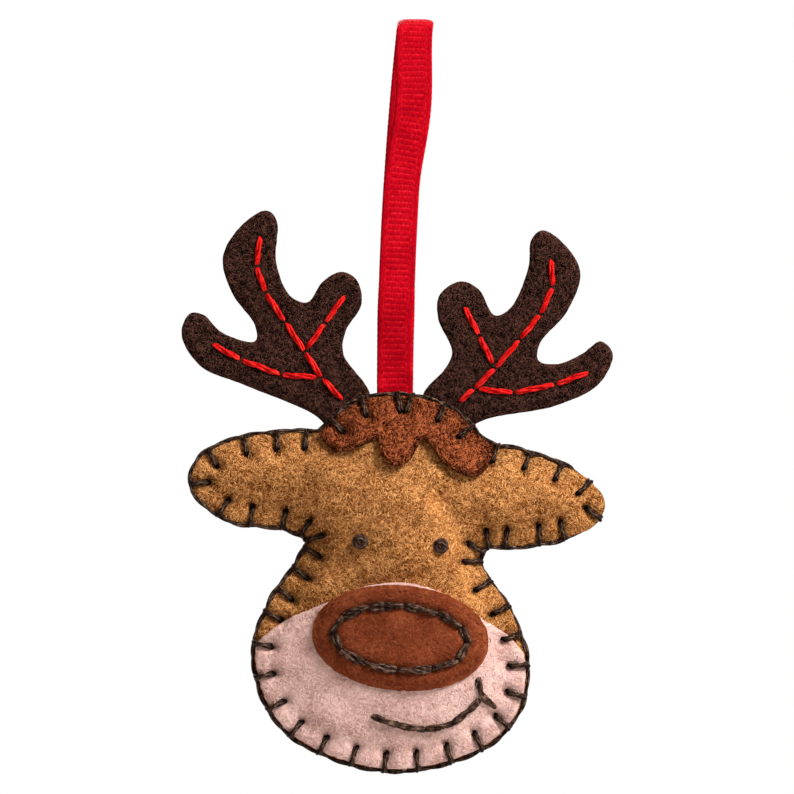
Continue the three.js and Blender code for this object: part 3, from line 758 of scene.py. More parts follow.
class Graph:
    """The nodes of one material, or of the world."""

    def __init__(self, owner: Union[Material, bpy.types.World]) -> None:
        """Starts afresh with the output node.

        Args:
            owner: The material or the world.
        """
        self.owner = owner
        owner.use_nodes = True
        self.tree = owner.node_tree
        self.tree.nodes.clear()
        self.output = self.tree.nodes.new(f"ShaderNodeOutput{type(owner).__name__}")

    @classmethod
    def of_material(cls, name: str) -> "Graph":
        """The graph of a new material."""
        return cls(bpy.data.materials.new(name))

    def node(
        self,
        kind: str,
        settings: Optional[dict[str, Any]] = None,
        inputs: Optional[dict[Union[str, int], Any]] = None,
        output: Union[str, int] = 0,
    ) -> Value:
        """Adds a node.

        Args:
            kind: The node's type.
            settings: Its attributes, with a ramp's stops as pairs of place and colour under "stops".
            inputs: Values or links of its sockets, by name or number.
            output: The socket that is returned.

        Returns:
            That output.
        """
        made = self.tree.nodes.new(kind)
        settings = dict(settings or {})
        stops = settings.pop("stops", None)
        for key, value in settings.items():
            setattr(made, key, value)
        if stops is not None:
            elements = made.color_ramp.elements
            for _ in stops[2:]:
                elements.new(1.0)
            for element, (place, colour) in zip(elements, stops):
                element.position = place
                element.color = (*colour, 1.0)
        for key, value in (inputs or {}).items():
            if isinstance(value, Value):
                self.tree.links.new(value.socket, made.inputs[key])
            else:
                made.inputs[key].default_value = value
        return Value(self, made.outputs[output])

    def place(self) -> Value:
        """The piece's own coordinates, in metres."""
        return self.node("ShaderNodeTexCoord", output="Object")

    def uv(self) -> Value:
        """The piece's UV map."""
        return self.node("ShaderNodeTexCoord", output="UV")

    def pressed(self) -> Value:
        """The piece's own pressed attribute, which holds painted shade, and below nought a painted
        highlight.
        """
        return self.node("ShaderNodeAttribute", {"attribute_name": "pressed"}, output="Fac")

    def vector(self, operation: str, first: Value, second: Any) -> Value:
        """A Vector Math node on a vector and a vector or, to scale it, a number."""
        key = "Scale" if operation == "SCALE" else 1
        return self.node("ShaderNodeVectorMath", {"operation": operation}, {0: first, key: second})

    def noise(self, vector: Value, size: Colour, turn: float = 0.0, detail: float = 2.0) -> Value:
        """Noise with grains of one size.

        Args:
            vector: Where it is read, in metres.
            size: The grains' size along each axis, in millimetres.
            turn: How far the grains are turned about the line of sight of the face.
            detail: How many finer layers are added.

        Returns:
            The noise.
        """
        scale = tuple(MM * along for along in size)
        settings = {"vector_type": "TEXTURE"}
        mapping = {"Vector": vector, "Rotation": (0, turn, 0), "Scale": scale}
        mapped = self.node("ShaderNodeMapping", settings, mapping)
        inputs = {"Vector": mapped, "Scale": 1.0, "Detail": detail, "Roughness": 0.6}
        return self.node("ShaderNodeTexNoise", {}, inputs)

    def grains(self, size: float, detail: float = 2.0) -> Value:
        """Noise with round grains of a size in millimetres."""
        return self.noise(self.place(), (size, size, size), detail=detail)

    def streaks(self, often: Colour) -> Value:
        """Noise along the UV map, with so many grains to a unit of u and of v."""
        mapped = self.node("ShaderNodeMapping", {}, {"Vector": self.uv(), "Scale": often})
        return self.node("ShaderNodeTexNoise", {}, {"Vector": mapped, "Scale": 1.0, "Detail": 2.0})

    def mix(self, share: Any, first: Any, second: Any) -> Value:
        """A colour between two colours.

        Args:
            share: How much of the second shows.
            first: A colour or a link to one.
            second: The other.

        Returns:
            The colour.
        """
        settings = {"data_type": "RGBA", "clamp_factor": True}
        first, second = (c if isinstance(c, Value) else (*c, 1.0) for c in (first, second))
        return self.node("ShaderNodeMix", settings, {0: share, 6: first, 7: second}, output=2)

    def bump(self, height: Value, strength: float, depth: float) -> Value:
        """A normal bent by a height that is depth millimetres deep."""
        inputs = {"Height": height, "Strength": strength, "Distance": depth * MM}
        return self.node("ShaderNodeBump", {}, inputs)

    def looked_at(self) -> Value:
        """1 on rays from the camera, off shiny things or through clear ones, and 0 on other rays."""
        seen = self.node("ShaderNodeLightPath", output="Is Camera Ray")
        for ray in ("Is Glossy Ray", "Is Transmission Ray"):
            seen = seen.highest(self.node("ShaderNodeLightPath", output=ray))
        return seen

    def end(self, shader: Value) -> None:
        """Links a shader to the output."""
        self.tree.links.new(shader.socket, self.output.inputs["Surface"])

    def finish(self, **sockets: Any) -> Material:
        """Ends the graph in a Principled shader, whose sockets are named with underscores for spaces."""
        inputs = {key.replace("_", " "): value for key, value in sockets.items()}
        self.end(self.node("ShaderNodeBsdfPrincipled", {}, inputs))
        return self.owner


def linear(*screen: int) -> Colour:
    """A screen colour, 0 to 255 each, as a shader's linear one: a line near black, then a power of 2.4."""
    share = np.array(screen) / 255.0
    curve = np.where(share <= 0.04045, share / 12.92, ((share + 0.055) / 1.055) ** 2.4)
    return tuple(float(c) for c in curve)


# Finishes


@dataclass(frozen=True)
class Dye:
    """What dyed finishes share: a name, a material slot and three shades, from the deepest to the palest."""

    name: str
    slot: str
    deep: Colour
    body: Colour
    pale: Colour

    def shaded(self, tone: Value, places: Colour) -> Value:
        """The three shades laid out along a tone, each at its own place on it."""
        stops = list(zip(places, (self.deep, self.body, self.pale)))
        return tone.graph.node("ShaderNodeValToRGB", {"stops": stops}, {"Fac": tone})

    def gloom(self, share: float) -> Colour:
        """A share of the deepest shade."""
        return tuple(share * c for c in self.deep)


@dataclass(frozen=True)
class FeltFinish(Dye):
    """Pressed felt: short fibres in crossing directions, pale ones over dark gaps, in soft clouds."""

    fibre_length: float = 1.15
    fibre_width: float = 0.07
    cloud: float = 0.68
    bump: float = 0.6
    contrast: Point = (0.566, 0.64)
    angles: tuple[float, ...] = (20.0, 63.0, 112.0, 155.0)
    fibre_tone: Point = (0.0, 1.0)
    hole_shade: float = 0.92

    BENDS_A_METRE = 420.0
    BEND = 1.1
    FIBRE_DEPTH = 1.0
    CLOUD_SIZE = 5.0
    SPECK_SIZE = 0.5
    SPECK_TONE = 0.12
    SPECK_RELIEF = 0.5
    STRETCHED_TONE = 0.26
    HOLE_STARTS = 0.1
    GLOOM = 0.12
    SHADE_PLACES = (0.0, 0.42, 0.9)
    COAT_SHADE_PLACES = (0.0, 0.5, 1.0)
    RELIEF = 0.2
    ROUGHNESS = (0.98, 0.85)
    SHINE = 0.02
    SHEEN_ROUGHNESS = 0.6
    COAT_ROUGHNESS = 0.85
    COAT_SHINE = 0.03

    def material(self) -> Material:
        """The felt's own material.

        Fibres are noise drawn out along four directions, bent by a coarser noise, and the brightest
        of the four shows at each place.

        Returns:
            The material.
        """
        graph = Graph.of_material(self.name)
        place = graph.place()
        bending = {"Vector": place, "Scale": self.BENDS_A_METRE, "Detail": 1.0}
        bend = graph.node("ShaderNodeTexNoise", {}, bending, output="Color")
        shift = graph.vector("SUBTRACT", bend, (0.5, 0.5, 0.5))
        bent = graph.vector("ADD", place, graph.vector("SCALE", shift, self.BEND * MM))
        size = (self.fibre_length, self.FIBRE_DEPTH, self.fibre_width)
        fibres, *layers = [graph.noise(bent, size, math.radians(angle)) for angle in self.angles]
        for layer in layers:
            fibres = fibres.highest(layer)
        fibres = fibres.ramp(*self.contrast)
        clouds = graph.grains(self.CLOUD_SIZE, detail=1.0) - 0.5
        specks = graph.grains(self.SPECK_SIZE) - 0.5
        # The pressed attribute holds painted light: below nought a painted highlight on the brow, partly
        # stretched felt, and above HOLE_STARTS painted shade at the stitches
        pressed = graph.pressed()
        stretched = pressed.ramp(-1.0, 0.0, self.STRETCHED_TONE, 0.0)
        tone = fibres + clouds * self.cloud + specks * self.SPECK_TONE + stretched
        hole_shade_share = pressed.ramp(self.HOLE_STARTS, 1.0, 0.0, self.hole_shade)
        return graph.finish(
            Base_Color=graph.mix(hole_shade_share, self.shaded(tone, self.SHADE_PLACES), self.gloom(self.GLOOM)),
            Roughness=fibres.ramp(0.0, 1.0, *self.ROUGHNESS),
            Normal=graph.bump(fibres + specks * self.SPECK_RELIEF, self.bump, self.RELIEF),
            Specular_IOR_Level=self.SHINE,
            Sheen_Weight=self.SHINE,
            Sheen_Roughness=self.SHEEN_ROUGHNESS,
            Sheen_Tint=(*self.pale, 1.0),
        )

    def fibre_material(self) -> Material:
        """Loose surface fibres: u is each fibre's tone, from dark to pale.

        Returns:
            The material.
        """
        graph = Graph.of_material(f"{self.name}_fibres")
        tone = graph.uv().part("X").ramp(0.0, 1.0, *self.fibre_tone)
        return graph.finish(
            Base_Color=self.shaded(tone, self.COAT_SHADE_PLACES),
            Roughness=self.COAT_ROUGHNESS,
            Specular_IOR_Level=self.COAT_SHINE,
        )


@dataclass(frozen=True)
class ThreadFinish(Dye):
    """Stranded cotton: fine filaments along each twisted strand, with a slight gloss; its palest streaks are
    painted glints over the filaments' own changes of tone.
    """

    gloss: float = 0.5

    FILAMENTS = (7.0, 9.0, 1.0)
    FILAMENT_TONE = 1.1
    FUZZ_SIZE = 0.22
    FUZZ_TONE = 0.4
    TONE_DROP = 0.25
    SHADE_PLACES = (0.3, 0.52, 0.82)
    SUNK_SHADE = 0.95
    GLOOM = 0.2
    BUMP = 0.35
    RELIEF = 0.05
    GLOSS_TONES = (0.2, 0.8)
    DULLER = 0.12
    GLOSSIER = 0.08
    SHINE = 0.03

    def material(self) -> Material:
        """The thread's material: thin streaks along the strand, the palest of them painted glints, and soft
        changes of tone.

        Returns:
            The material.
        """
        graph = Graph.of_material(self.name)
        fuzz = graph.grains(self.FUZZ_SIZE)
        tone = graph.streaks(self.FILAMENTS) * self.FILAMENT_TONE + fuzz * self.FUZZ_TONE - self.TONE_DROP
        # Painted shade where the thread dives into a needle hole, read from its attribute pressed
        thread_hole_shade = graph.pressed().ramp(0.0, 1.0, 0.0, self.SUNK_SHADE)
        return graph.finish(
            Base_Color=graph.mix(thread_hole_shade, self.shaded(tone, self.SHADE_PLACES), self.gloom(self.GLOOM)),
            Roughness=tone.ramp(*self.GLOSS_TONES, self.gloss + self.DULLER, self.gloss - self.GLOSSIER),
            Normal=graph.bump(tone, self.BUMP, self.RELIEF),
            Specular_IOR_Level=self.SHINE,
        )


@dataclass(frozen=True)
class RibbonFinish(Dye):
    """Grosgrain: lengthwise yarns over thick crosswise ribs, with a closer-woven border."""

    yarns: float = 44.0

    SLUBS_A_WIDTH = 7.0
    RIB_ENDS = (2.15, 1.8)
    BETWEEN_RIBS = (0.3, 0.48)
    LINE_END = 0.12
    END_LINE = (0.04, 0.22, 0.6, 0.0)
    DOT_SIZE = 0.3
    DOTS = (0.4, 0.6, 0.2, 1.5)
    CLOUD_SIZE = 4.0
    SLUB_TONE = 0.6
    CLOUD_TONE = 0.3
    YARN_TONE = 0.04
    LINE_TONE = 0.15
    TONE_DROP = 0.06
    SHADE_PLACES = (0.2, 0.48, 0.75)
    ROUGHNESS = (0.2, 0.8, 0.6, 0.45)
    BUMP = 0.3
    RELIEF = 0.06
    SHINE = 0.06

    def material(self) -> Material:
        """The ribbon's material. u runs across the ribbon and v along it, in ribbon widths.

        Each yarn is a sine across. A dotted painted highlight lies between ribs, where the way along is
        half a pitch from a crest, and another follows the ribs' ends, which bow out at each crest.

        Returns:
            The material.
        """
        graph = Graph.of_material(self.name)
        across, along = graph.uv().part("X"), graph.uv().part("Y")
        yarn = across.math("SINE", across * (WHOLE_TURN * self.yarns))
        slub = graph.streaks((self.yarns, self.SLUBS_A_WIDTH, 1.0))
        rib = along.math("FRACT", along * (RIBBON_WIDTH / RIB_PITCH))
        from_crest = abs(rib - 0.5)
        from_middle = abs((across - 0.5) * RIBBON_WIDTH)
        rib_end = from_crest.ramp(0.0, 0.5, *self.RIB_ENDS)
        # Pale dotted lines between ribs and along the ribs' ends are painted highlights
        between = from_crest.ramp(*self.BETWEEN_RIBS) * (rib_end - from_middle).ramp(0.0, self.LINE_END)
        rib_end_highlight = abs(from_middle - rib_end).ramp(*self.END_LINE)
        line = between.highest(rib_end_highlight) * graph.grains(self.DOT_SIZE).ramp(*self.DOTS)
        clouds = graph.grains(self.CLOUD_SIZE)
        weave = slub * self.SLUB_TONE + clouds * self.CLOUD_TONE + yarn * self.YARN_TONE
        tone = weave + line * self.LINE_TONE - self.TONE_DROP
        return graph.finish(
            Base_Color=self.shaded(tone, self.SHADE_PLACES),
            Roughness=slub.ramp(*self.ROUGHNESS),
            Normal=graph.bump(yarn + slub, self.BUMP, self.RELIEF),
            Specular_IOR_Level=self.SHINE,
            Specular_Tint=(*self.pale, 1.0),
        )


@dataclass(frozen=True)
class FillingFinish:
    """Loose white fibre filling."""

    name: str = "white_filling"
    slot: str = "filling"
    # Grey painted shade in the tangle's hollows
    hollow: Colour = linear(206, 203, 196)
    fibre: Colour = linear(247, 245, 240)

    TANGLE_SIZE = (0.8, 0.8, 0.25)
    TANGLE_TURN = 0.6
    TANGLE_DETAIL = 4.0
    HOLLOWS = (0.35, 0.65)
    BUMP = 0.7
    RELIEF = 0.5
    ROUGHNESS = (1.0, 0.9)

    def material(self) -> Material:
        """Tangled white fibres with soft grey painted shade in their hollows.

        Returns:
            The material.
        """
        graph = Graph.of_material(self.name)
        tangle = graph.noise(graph.place(), self.TANGLE_SIZE, self.TANGLE_TURN, self.TANGLE_DETAIL)
        return graph.finish(
            Base_Color=graph.mix(tangle.ramp(*self.HOLLOWS), self.hollow, self.fibre),
            Roughness=tangle.ramp(0.0, 1.0, *self.ROUGHNESS),
            Normal=graph.bump(tangle, self.BUMP, self.RELIEF),
        )


TAN_FELT = FeltFinish(
    "tan_felt_cloth", "tan_felt", linear(86, 39, 9), linear(162, 94, 40), linear(238, 174, 108)
)
RUSSET_FELT = FeltFinish(
    "russet_felt_cloth", "russet_felt", linear(22, 4, 1), linear(80, 29, 10), linear(206, 113, 68),
    bump=1.0, contrast=(0.574, 0.66),
)
NOSE_FELT = FeltFinish(
    "russet_nose_cloth", "russet_felt", linear(84, 32, 16), linear(124, 58, 32), linear(156, 88, 58),
    bump=0.3, contrast=(0.5, 0.76), fibre_tone=(0.2, 0.8),
)
PINK_FELT = FeltFinish(
    "pink_felt_cloth", "pink_felt", linear(148, 100, 91), linear(214, 174, 164), linear(241, 211, 203),
    bump=0.25, contrast=(0.48, 0.78), fibre_tone=(0.3, 0.9), hole_shade=0.3,
)
BROWN_FELT = FeltFinish(
    "brown_felt_cloth", "brown_felt", linear(3, 1, 0), linear(17, 8, 6), linear(96, 61, 51)
)
# The threads' palest shades are painted glints on the strands
DARK_THREAD = ThreadFinish(
    "dark_cotton", "dark_thread", linear(9, 4, 2), linear(39, 24, 17), linear(150, 120, 100), gloss=0.45
)
FACE_THREAD = ThreadFinish(
    "brown_cotton", "dark_thread", linear(13, 6, 4), linear(56, 38, 30), linear(146, 114, 97), gloss=0.45
)
RED_THREAD = ThreadFinish(
    "red_cotton", "red_thread", linear(140, 4, 6), linear(212, 20, 20), linear(244, 66, 56)
)
RED_RIBBON = RibbonFinish(
    "red_grosgrain", "ribbon", linear(112, 2, 14), linear(188, 7, 25), linear(228, 42, 54)
)


# The head's form


@dataclass
class EdgeStitches:
    """Where the blanket stitches sit: a place on the edge and a needle hole each."""

    edge: Array
    outward: Array
    hole: Array
    place: Array

    @classmethod
    def on(cls, outline: Array) -> "EdgeStitches":
        """Sets the runs of stitches out along the head's outline.

        Args:
            outline: The head's outline, clockwise.

        Returns:
            The stitches, with the holes of a gathered run drawn towards its middle.
        """
        places, holes = [], []
        for first, pitch, count, gathered in EDGE_STITCH_RUNS:
            run = first + pitch * np.arange(count)
            places.append(run)
            holes.append(run + gathered * (run.mean() - run))
        place = np.concatenate(places)
        edge, outward = places_on(outline, place)
        hole_edge, hole_outward = places_on(outline, np.concatenate(holes))
        return cls(edge, outward, hole_edge - EDGE_STITCH_DEPTH * hole_outward, place)


@dataclass
class Crease:
    """A soft ridge or valley that the filling leaves in the felt."""

    start: Point
    end: Point
    width: float
    height: float

    ENDS = (0.06, 0.94)

    def relief(self, points: Array) -> Array:
        """Height at places: a bell across the line, fading towards its ends as the root of a sine."""
        away, share = segment_distance(np.array([self.start]), np.array([self.end]), points)
        fade = np.sin(math.pi * np.clip(share, *self.ENDS)) ** 0.5
        return (self.height * fade * bell(away, self.width))[..., 0]


class SewnPillow:
    """The head's two felts blown up as one sewn pillow with cloth simulation."""

    STEP = 1.7
    CLEAR = 0.6 * STEP
    SEED = 5
    SCALE = 0.01
    FRAMES = 24
    SLACK = 0.94
    CLOTH = {
        "quality": 6,
        "tension_stiffness": 25.0,
        "compression_stiffness": 25.0,
        "shear_stiffness": 10.0,
        "bending_stiffness": 1.5,
        "use_pressure": True,
        "uniform_pressure_force": 6.0,
        "vertex_group_mass": "sewn",
    }
    MOST_CHANGE = 1.1
    BLUR = 1.1

    def __init__(self, outline: Array, holes: Array, front: Height, back: Height) -> None:
        """Cuts the felts into triangles.

        Args:
            outline: The sewn outline.
            holes: The needle holes that hold the felts.
            front: The front felt's height to start from.
            back: The back felt's.
        """
        rim = anticlockwise(resample(outline, self.STEP, True))
        inside = lattice_points(outline, self.STEP, self.SEED)
        clear = (edge_depth(rim, inside) > self.CLEAR) & (nearest(holes, inside) > self.CLEAR)
        self.flat, self.triangles = triangulated(rim, np.vstack([inside[clear], holes]))
        self.rim = len(rim)
        corners = np.arange(len(self.flat))
        self.held = np.concatenate([corners[: self.rim], corners[len(self.flat) - len(holes) :]])
        self.heights = [np.where(corners < self.rim, 0.0, face(self.flat)) for face in (front, back)]

    def pillow(self) -> Object:
        """The closed pillow that is blown up, ten times its size and a little slack, sewn along its rim.

        Returns:
            The linked object, with its rim and needle holes in the group "sewn".
        """
        count = len(self.flat)
        corners = np.arange(count)
        front, back = (self.SLACK * height for height in self.heights)
        behind = np.where(corners < self.rim, corners, corners + count - self.rim)
        vertices = np.vstack([lifted(self.flat, front), lifted(self.flat, -back)[self.rim :]])
        faces = np.vstack([self.triangles, behind[self.triangles][:, ::-1]])
        mesh = bpy.data.meshes.new("pillow")
        mesh.from_pydata((vertices * self.SCALE).tolist(), [], faces.tolist())
        made = bpy.data.objects.new("pillow", mesh)
        bpy.context.scene.collection.objects.link(made)
        group = made.vertex_groups.new(name="sewn")
        group.add(np.unique(np.concatenate([self.held, behind[self.held]])).tolist(), 1.0, "REPLACE")
        return made

    def blown(self) -> Array:
        """Steps the simulation and takes the pillow away again.

        Returns:
            The pillow's points in millimetres, (n, 3).
        """
        pillow = self.pillow()
        cloth = pillow.modifiers.new("cloth", "CLOTH")
        for key, value in self.CLOTH.items():
            setattr(cloth.settings, key, value)
        cloth.settings.effector_weights.gravity = 0.0
        cloth.collision_settings.use_collision = False
        cloth.point_cache.frame_end = self.FRAMES
        scene = bpy.context.scene
        for frame in range(1, self.FRAMES + 1):
            scene.frame_set(frame)
        shown = pillow.evaluated_get(bpy.context.evaluated_depsgraph_get())
        points = np.empty(3 * len(pillow.data.vertices), np.float32)
        shown.data.vertices.foreach_get("co", points)
        scene.frame_set(1)
        bpy.data.objects.remove(pillow)
        return points.reshape(-1, 3).astype(float) / self.SCALE

    def changes(self, nodes: Array) -> tuple[Array, Array]:
        """How far the blown felts stand off the heights they started from, at places between their points.

        Args:
            nodes: Places on the pattern sheet, (rows, columns, 2).

        Returns:
            The front's and the back's changes, capped and averaged with bell weights of width BLUR.
        """
        points = self.blown()
        count = len(self.flat)
        front = -points[:count, 1] - self.heights[0]
        back = np.concatenate([points[: self.rim, 1], points[count:, 1]]) - self.heights[1]
        both = np.clip(np.stack([front, back], axis=1), -self.MOST_CHANGE, self.MOST_CHANGE)
        flat = nodes.reshape(-1, 2)
        weight = np.exp(-((flat[:, None] - self.flat) ** 2).sum(-1) / self.BLUR**2)
        smooth = (weight @ both) / np.maximum(weight.sum(1, keepdims=True), TINY)
        return smooth[:, 0].reshape(nodes.shape[:-1]), smooth[:, 1].reshape(nodes.shape[:-1])


class HeadForm:
    """The swollen head: distances of its layers from the seam plane, towards the viewer."""

    LATTICE_STEP = 0.8
    LATTICE_MARGIN = 4.0
    MEMBRANE_PASSES = 260
    OVER_RELAX = 1.9
    SWELL_POWER = 0.45
    MUZZLE_EASE = 1.05
    MUZZLE_EASED = (30.0, 42.0)
    SEWN_REACH = 3.0
    # What the stitches do to the felt
    GROOVE = 0.55
    GROOVE_WIDTH = 1.0
    HOLE_DIP = 0.6
    PUCKER_WIDTH = 2.1
    FRONT_PUCKER = 0.2
    BACK_PUCKER = 0.4
    PATCH_PUCKER = 0.06
    HAIR_PUCKER = 0.9
    HOLE_PAST_LEG = 0.25
    # Painted shade: faint along each leg, deep in each needle hole
    LEG_SHADE = 0.2
    LEG_SHADE_WIDTH = 0.75
    HOLE_SHADE = 1.1
    HOLE_RIM = (0.28, 0.72)
    EYE_DENT = 0.35
    EYE_DENT_WIDTH = 1.6
    # What the filling does to it
    # Width of the painted highlight along the brow, partly felt stretched pale
    BROW_WIDTH = 2.3
    FRONT_LUMPS = (0.18, 9.0, 3)
    FRONT_LEVEL_EDGE = (0.5, 4.5)
    BACK_LUMPS = (0.2, 10.0, 8)
    BACK_LEVEL_EDGE = (1.0, 6.0)
    HAIR_LIFT = 0.3
    HAIR_LIFTED = (5.0, 11.0)
    PATCH_THINNEST = 0.8 * FELT
    CREASES = (
        Crease((4.7, -13.6), (11.9, -23.6), 1.7, -0.95),
        Crease((1.8, -14.0), (8.8, -26.0), 2.5, 0.6),
        Crease((12.5, -12.5), (18.0, -20.5), 3.0, 1.3),
        Crease((-3.0, -13.0), (1.0, -25.0), 12.0, 2.9),
        Crease((1.0, -22.0), (2.8, -30.0), 6.5, 1.9),
        Crease((-30.0, -11.5), (-14.0, -11.0), 3.8, 0.45),
        Crease((-29.0, -17.0), (-11.0, -19.5), 4.2, -0.8),
        Crease((-13.0, -10.0), (-13.0, -20.0), 7.0, 1.0),
        Crease((-33.0, -13.0), (-33.0, -18.0), 4.0, 0.5),
        Crease((18.0, -13.5), (30.0, -16.5), 3.4, 0.5),
        Crease((17.0, -20.5), (29.0, -20.5), 3.4, -0.6),
        Crease((23.5, -12.0), (23.5, -20.0), 4.5, 0.9),
    )

    def __init__(self) -> None:
        """Works out the outlines, the stitches and the swell, which the sewn pillow then settles."""
        self.outline = cut_line(HEAD_POINTS)
        self.stitches = EdgeStitches.on(self.outline)
        self.hair = cut_line(HAIR_POINTS, PATCH_STEP)
        self.muzzle = cut_line(MUZZLE_POINTS, PATCH_STEP)
        self.depth, self.nodes = Lattice.around(self.outline, self.LATTICE_STEP, self.LATTICE_MARGIN)
        self.depth.values = edge_depth(resample(self.outline, COARSE_STEP, True), self.nodes)
        blown, drawn_in = self.membrane(), smoothstep(self.depth.values, 0.0, DRAW_IN)
        eased = self.MUZZLE_EASE * smoothstep(-self.nodes[..., 1], *self.MUZZLE_EASED)
        front = FRONT_CROWN * blown ** (self.SWELL_POWER + eased) * drawn_in
        back = BACK_CROWN * blown**self.SWELL_POWER * drawn_in
        self.front_swell = Lattice(self.depth.low, self.LATTICE_STEP, front)
        self.back_swell = Lattice(self.depth.low, self.LATTICE_STEP, back)
        pillow = SewnPillow(
            self.outline,
            self.stitches.hole,
            lambda p: self.front_inner(p) + FELT / 2,
            lambda p: self.back_inner(p) + FELT / 2,
        )
        settle = smoothstep(self.depth.values, 0.0, self.SEWN_REACH)
        for swell, change in zip((self.front_swell, self.back_swell), pillow.changes(self.nodes)):
            swell.values = np.maximum(swell.values + settle * change, 0.0)

    def membrane(self) -> Array:
        """An evenly blown membrane: each node moves past the mean of its neighbours plus the blow.

        Returns:
            Its heights over the lattice, as shares of the highest.
        """
        free = self.depth.values > 0
        height = np.zeros_like(self.depth.values)
        rows, columns = np.indices(height.shape)
        halves = [free & ((rows + columns) % 2 == half) for half in (0, 1)]
        for _ in range(self.MEMBRANE_PASSES):
            for half in halves:
                around = sum(np.roll(height, shift, axis) for shift in (1, -1) for axis in (0, 1))
                pull = self.OVER_RELAX * ((around + self.LATTICE_STEP**2) / 4 - height)
                height = np.where(half, height + pull, height)
        return np.maximum(height, 0) / height.max()

    def seam(self, points: Array) -> Array:
        """Half the gap between the two felts, open round the crown for antlers and ribbon."""
        closing = smoothstep(np.hypot(points[..., 0], points[..., 1]), SEAM_OPEN_RADIUS, SEAM_CLOSE_RADIUS)
        opened = ANTLER_FELT / 2 + CLEARANCE
        return opened + (CLEARANCE / 2 - opened) * closing

    def pressed(self, points: Array, pucker: float) -> Array:
        """How far the edge stitches press the felt in: a bell under each leg, and a dip about its hole.

        Args:
            points: Places, (..., 2).
            pucker: How deep the dip about a hole is.

        Returns:
            The depth there.
        """
        away, share = segment_distance(self.stitches.edge, self.stitches.hole, points)
        depth = (self.GROOVE + self.HOLE_DIP * share**3) * bell(away, self.GROOVE_WIDTH)
        return depth.max(-1) + pucker * bell(nearest(self.stitches.hole, points), self.PUCKER_WIDTH)

    def holes(self) -> Array:
        """The middles of the needle holes, a little past the legs' ends."""
        way = self.stitches.hole - self.stitches.edge
        return self.stitches.hole + self.HOLE_PAST_LEG * way / np.linalg.norm(way, axis=1, keepdims=True)

    def worn(self, points: Array) -> Array:
        """Painted shade under the edge stitches: faint along a leg, deep in its needle hole."""
        away, _ = segment_distance(self.stitches.edge, self.stitches.hole, points)
        leg = self.LEG_SHADE * bell(away, self.LEG_SHADE_WIDTH).max(-1)
        out_of_hole = smoothstep(nearest(self.holes(), points), *self.HOLE_RIM)
        return np.maximum(leg, self.HOLE_SHADE - self.HOLE_SHADE * out_of_hole)

    def handled(self, points: Array) -> Array:
        """The front felt's painted shading: painted shade at its stitches, and below nought a painted
        highlight along the brow, partly felt stretched pale.
        """
        line = np.array(BROW_HIGHLIGHT_LINE)
        away = segment_distance(line[:-1], line[1:], points)[0].min(-1)
        worn = self.worn(points)
        return worn - (1 - np.clip(worn, 0, 1)) * bell(away, self.BROW_WIDTH)

    def front_inner(self, points: Array) -> Array:
        """The front felt's hidden face."""
        return self.seam(points) + self.front_swell(points)

    def back_inner(self, points: Array) -> Array:
        """The back felt's hidden face, away from the viewer."""
        return self.seam(points) + self.back_swell(points)

    def lumps(self, points: Array) -> Array:
        """The filling's lumps and creases in the front felt, level along its edge."""
        settle = smoothstep(self.depth(points), *self.FRONT_LEVEL_EDGE)
        creases = sum(crease.relief(points) for crease in self.CREASES)
        return settle * (ripple(points, *self.FRONT_LUMPS) + creases)

    def front_outer(self, points: Array) -> Array:
        """The front felt's face, with the filling's lumps, the stitches' grooves and the eyes' dents."""
        from_eyes = (np.linalg.norm(points - np.array(eye), axis=-1) for eye in EYES.values())
        dents = sum(self.EYE_DENT * bell(away, self.EYE_DENT_WIDTH) for away in from_eyes)
        face = self.front_inner(points) + FELT + self.lumps(points)
        return np.maximum(face - self.pressed(points, self.FRONT_PUCKER) - dents, THINNEST)

    def patch_outer(self, points: Array, pucker: float = PATCH_PUCKER) -> Array:
        """The face of a felt patch that lies on the front felt."""
        rise = self.front_inner(points) + 2 * FELT + CLEARANCE + self.lumps(points)
        return np.maximum(rise - self.pressed(points, pucker), self.PATCH_THINNEST)

    def hair_lift(self, points: Array) -> Array:
        """How far the forelock's free lobes stand off the forehead."""
        return self.HAIR_LIFT * smoothstep(-points[..., 1], *self.HAIR_LIFTED)

    def hair_outer(self, points: Array) -> Array:
        """The forelock's face."""
        return self.patch_outer(points, self.HAIR_PUCKER) + self.hair_lift(points)

    def back_outer(self, points: Array) -> Array:
        """The back felt's face, away from the viewer."""
        lumps = smoothstep(self.depth(points), *self.BACK_LEVEL_EDGE) * ripple(points, *self.BACK_LUMPS)
        face = self.back_inner(points) + FELT + lumps - self.pressed(points, self.BACK_PUCKER)
        return np.maximum(face, THINNEST)

    def face_top(self, points: Array) -> Array:
        """The outermost of the felts at points near the edge."""
        top = np.where(is_inside(self.muzzle, points), self.patch_outer(points), self.front_outer(points))
        return np.where(is_inside(self.hair, points), self.hair_outer(points), top)


# Felt pieces


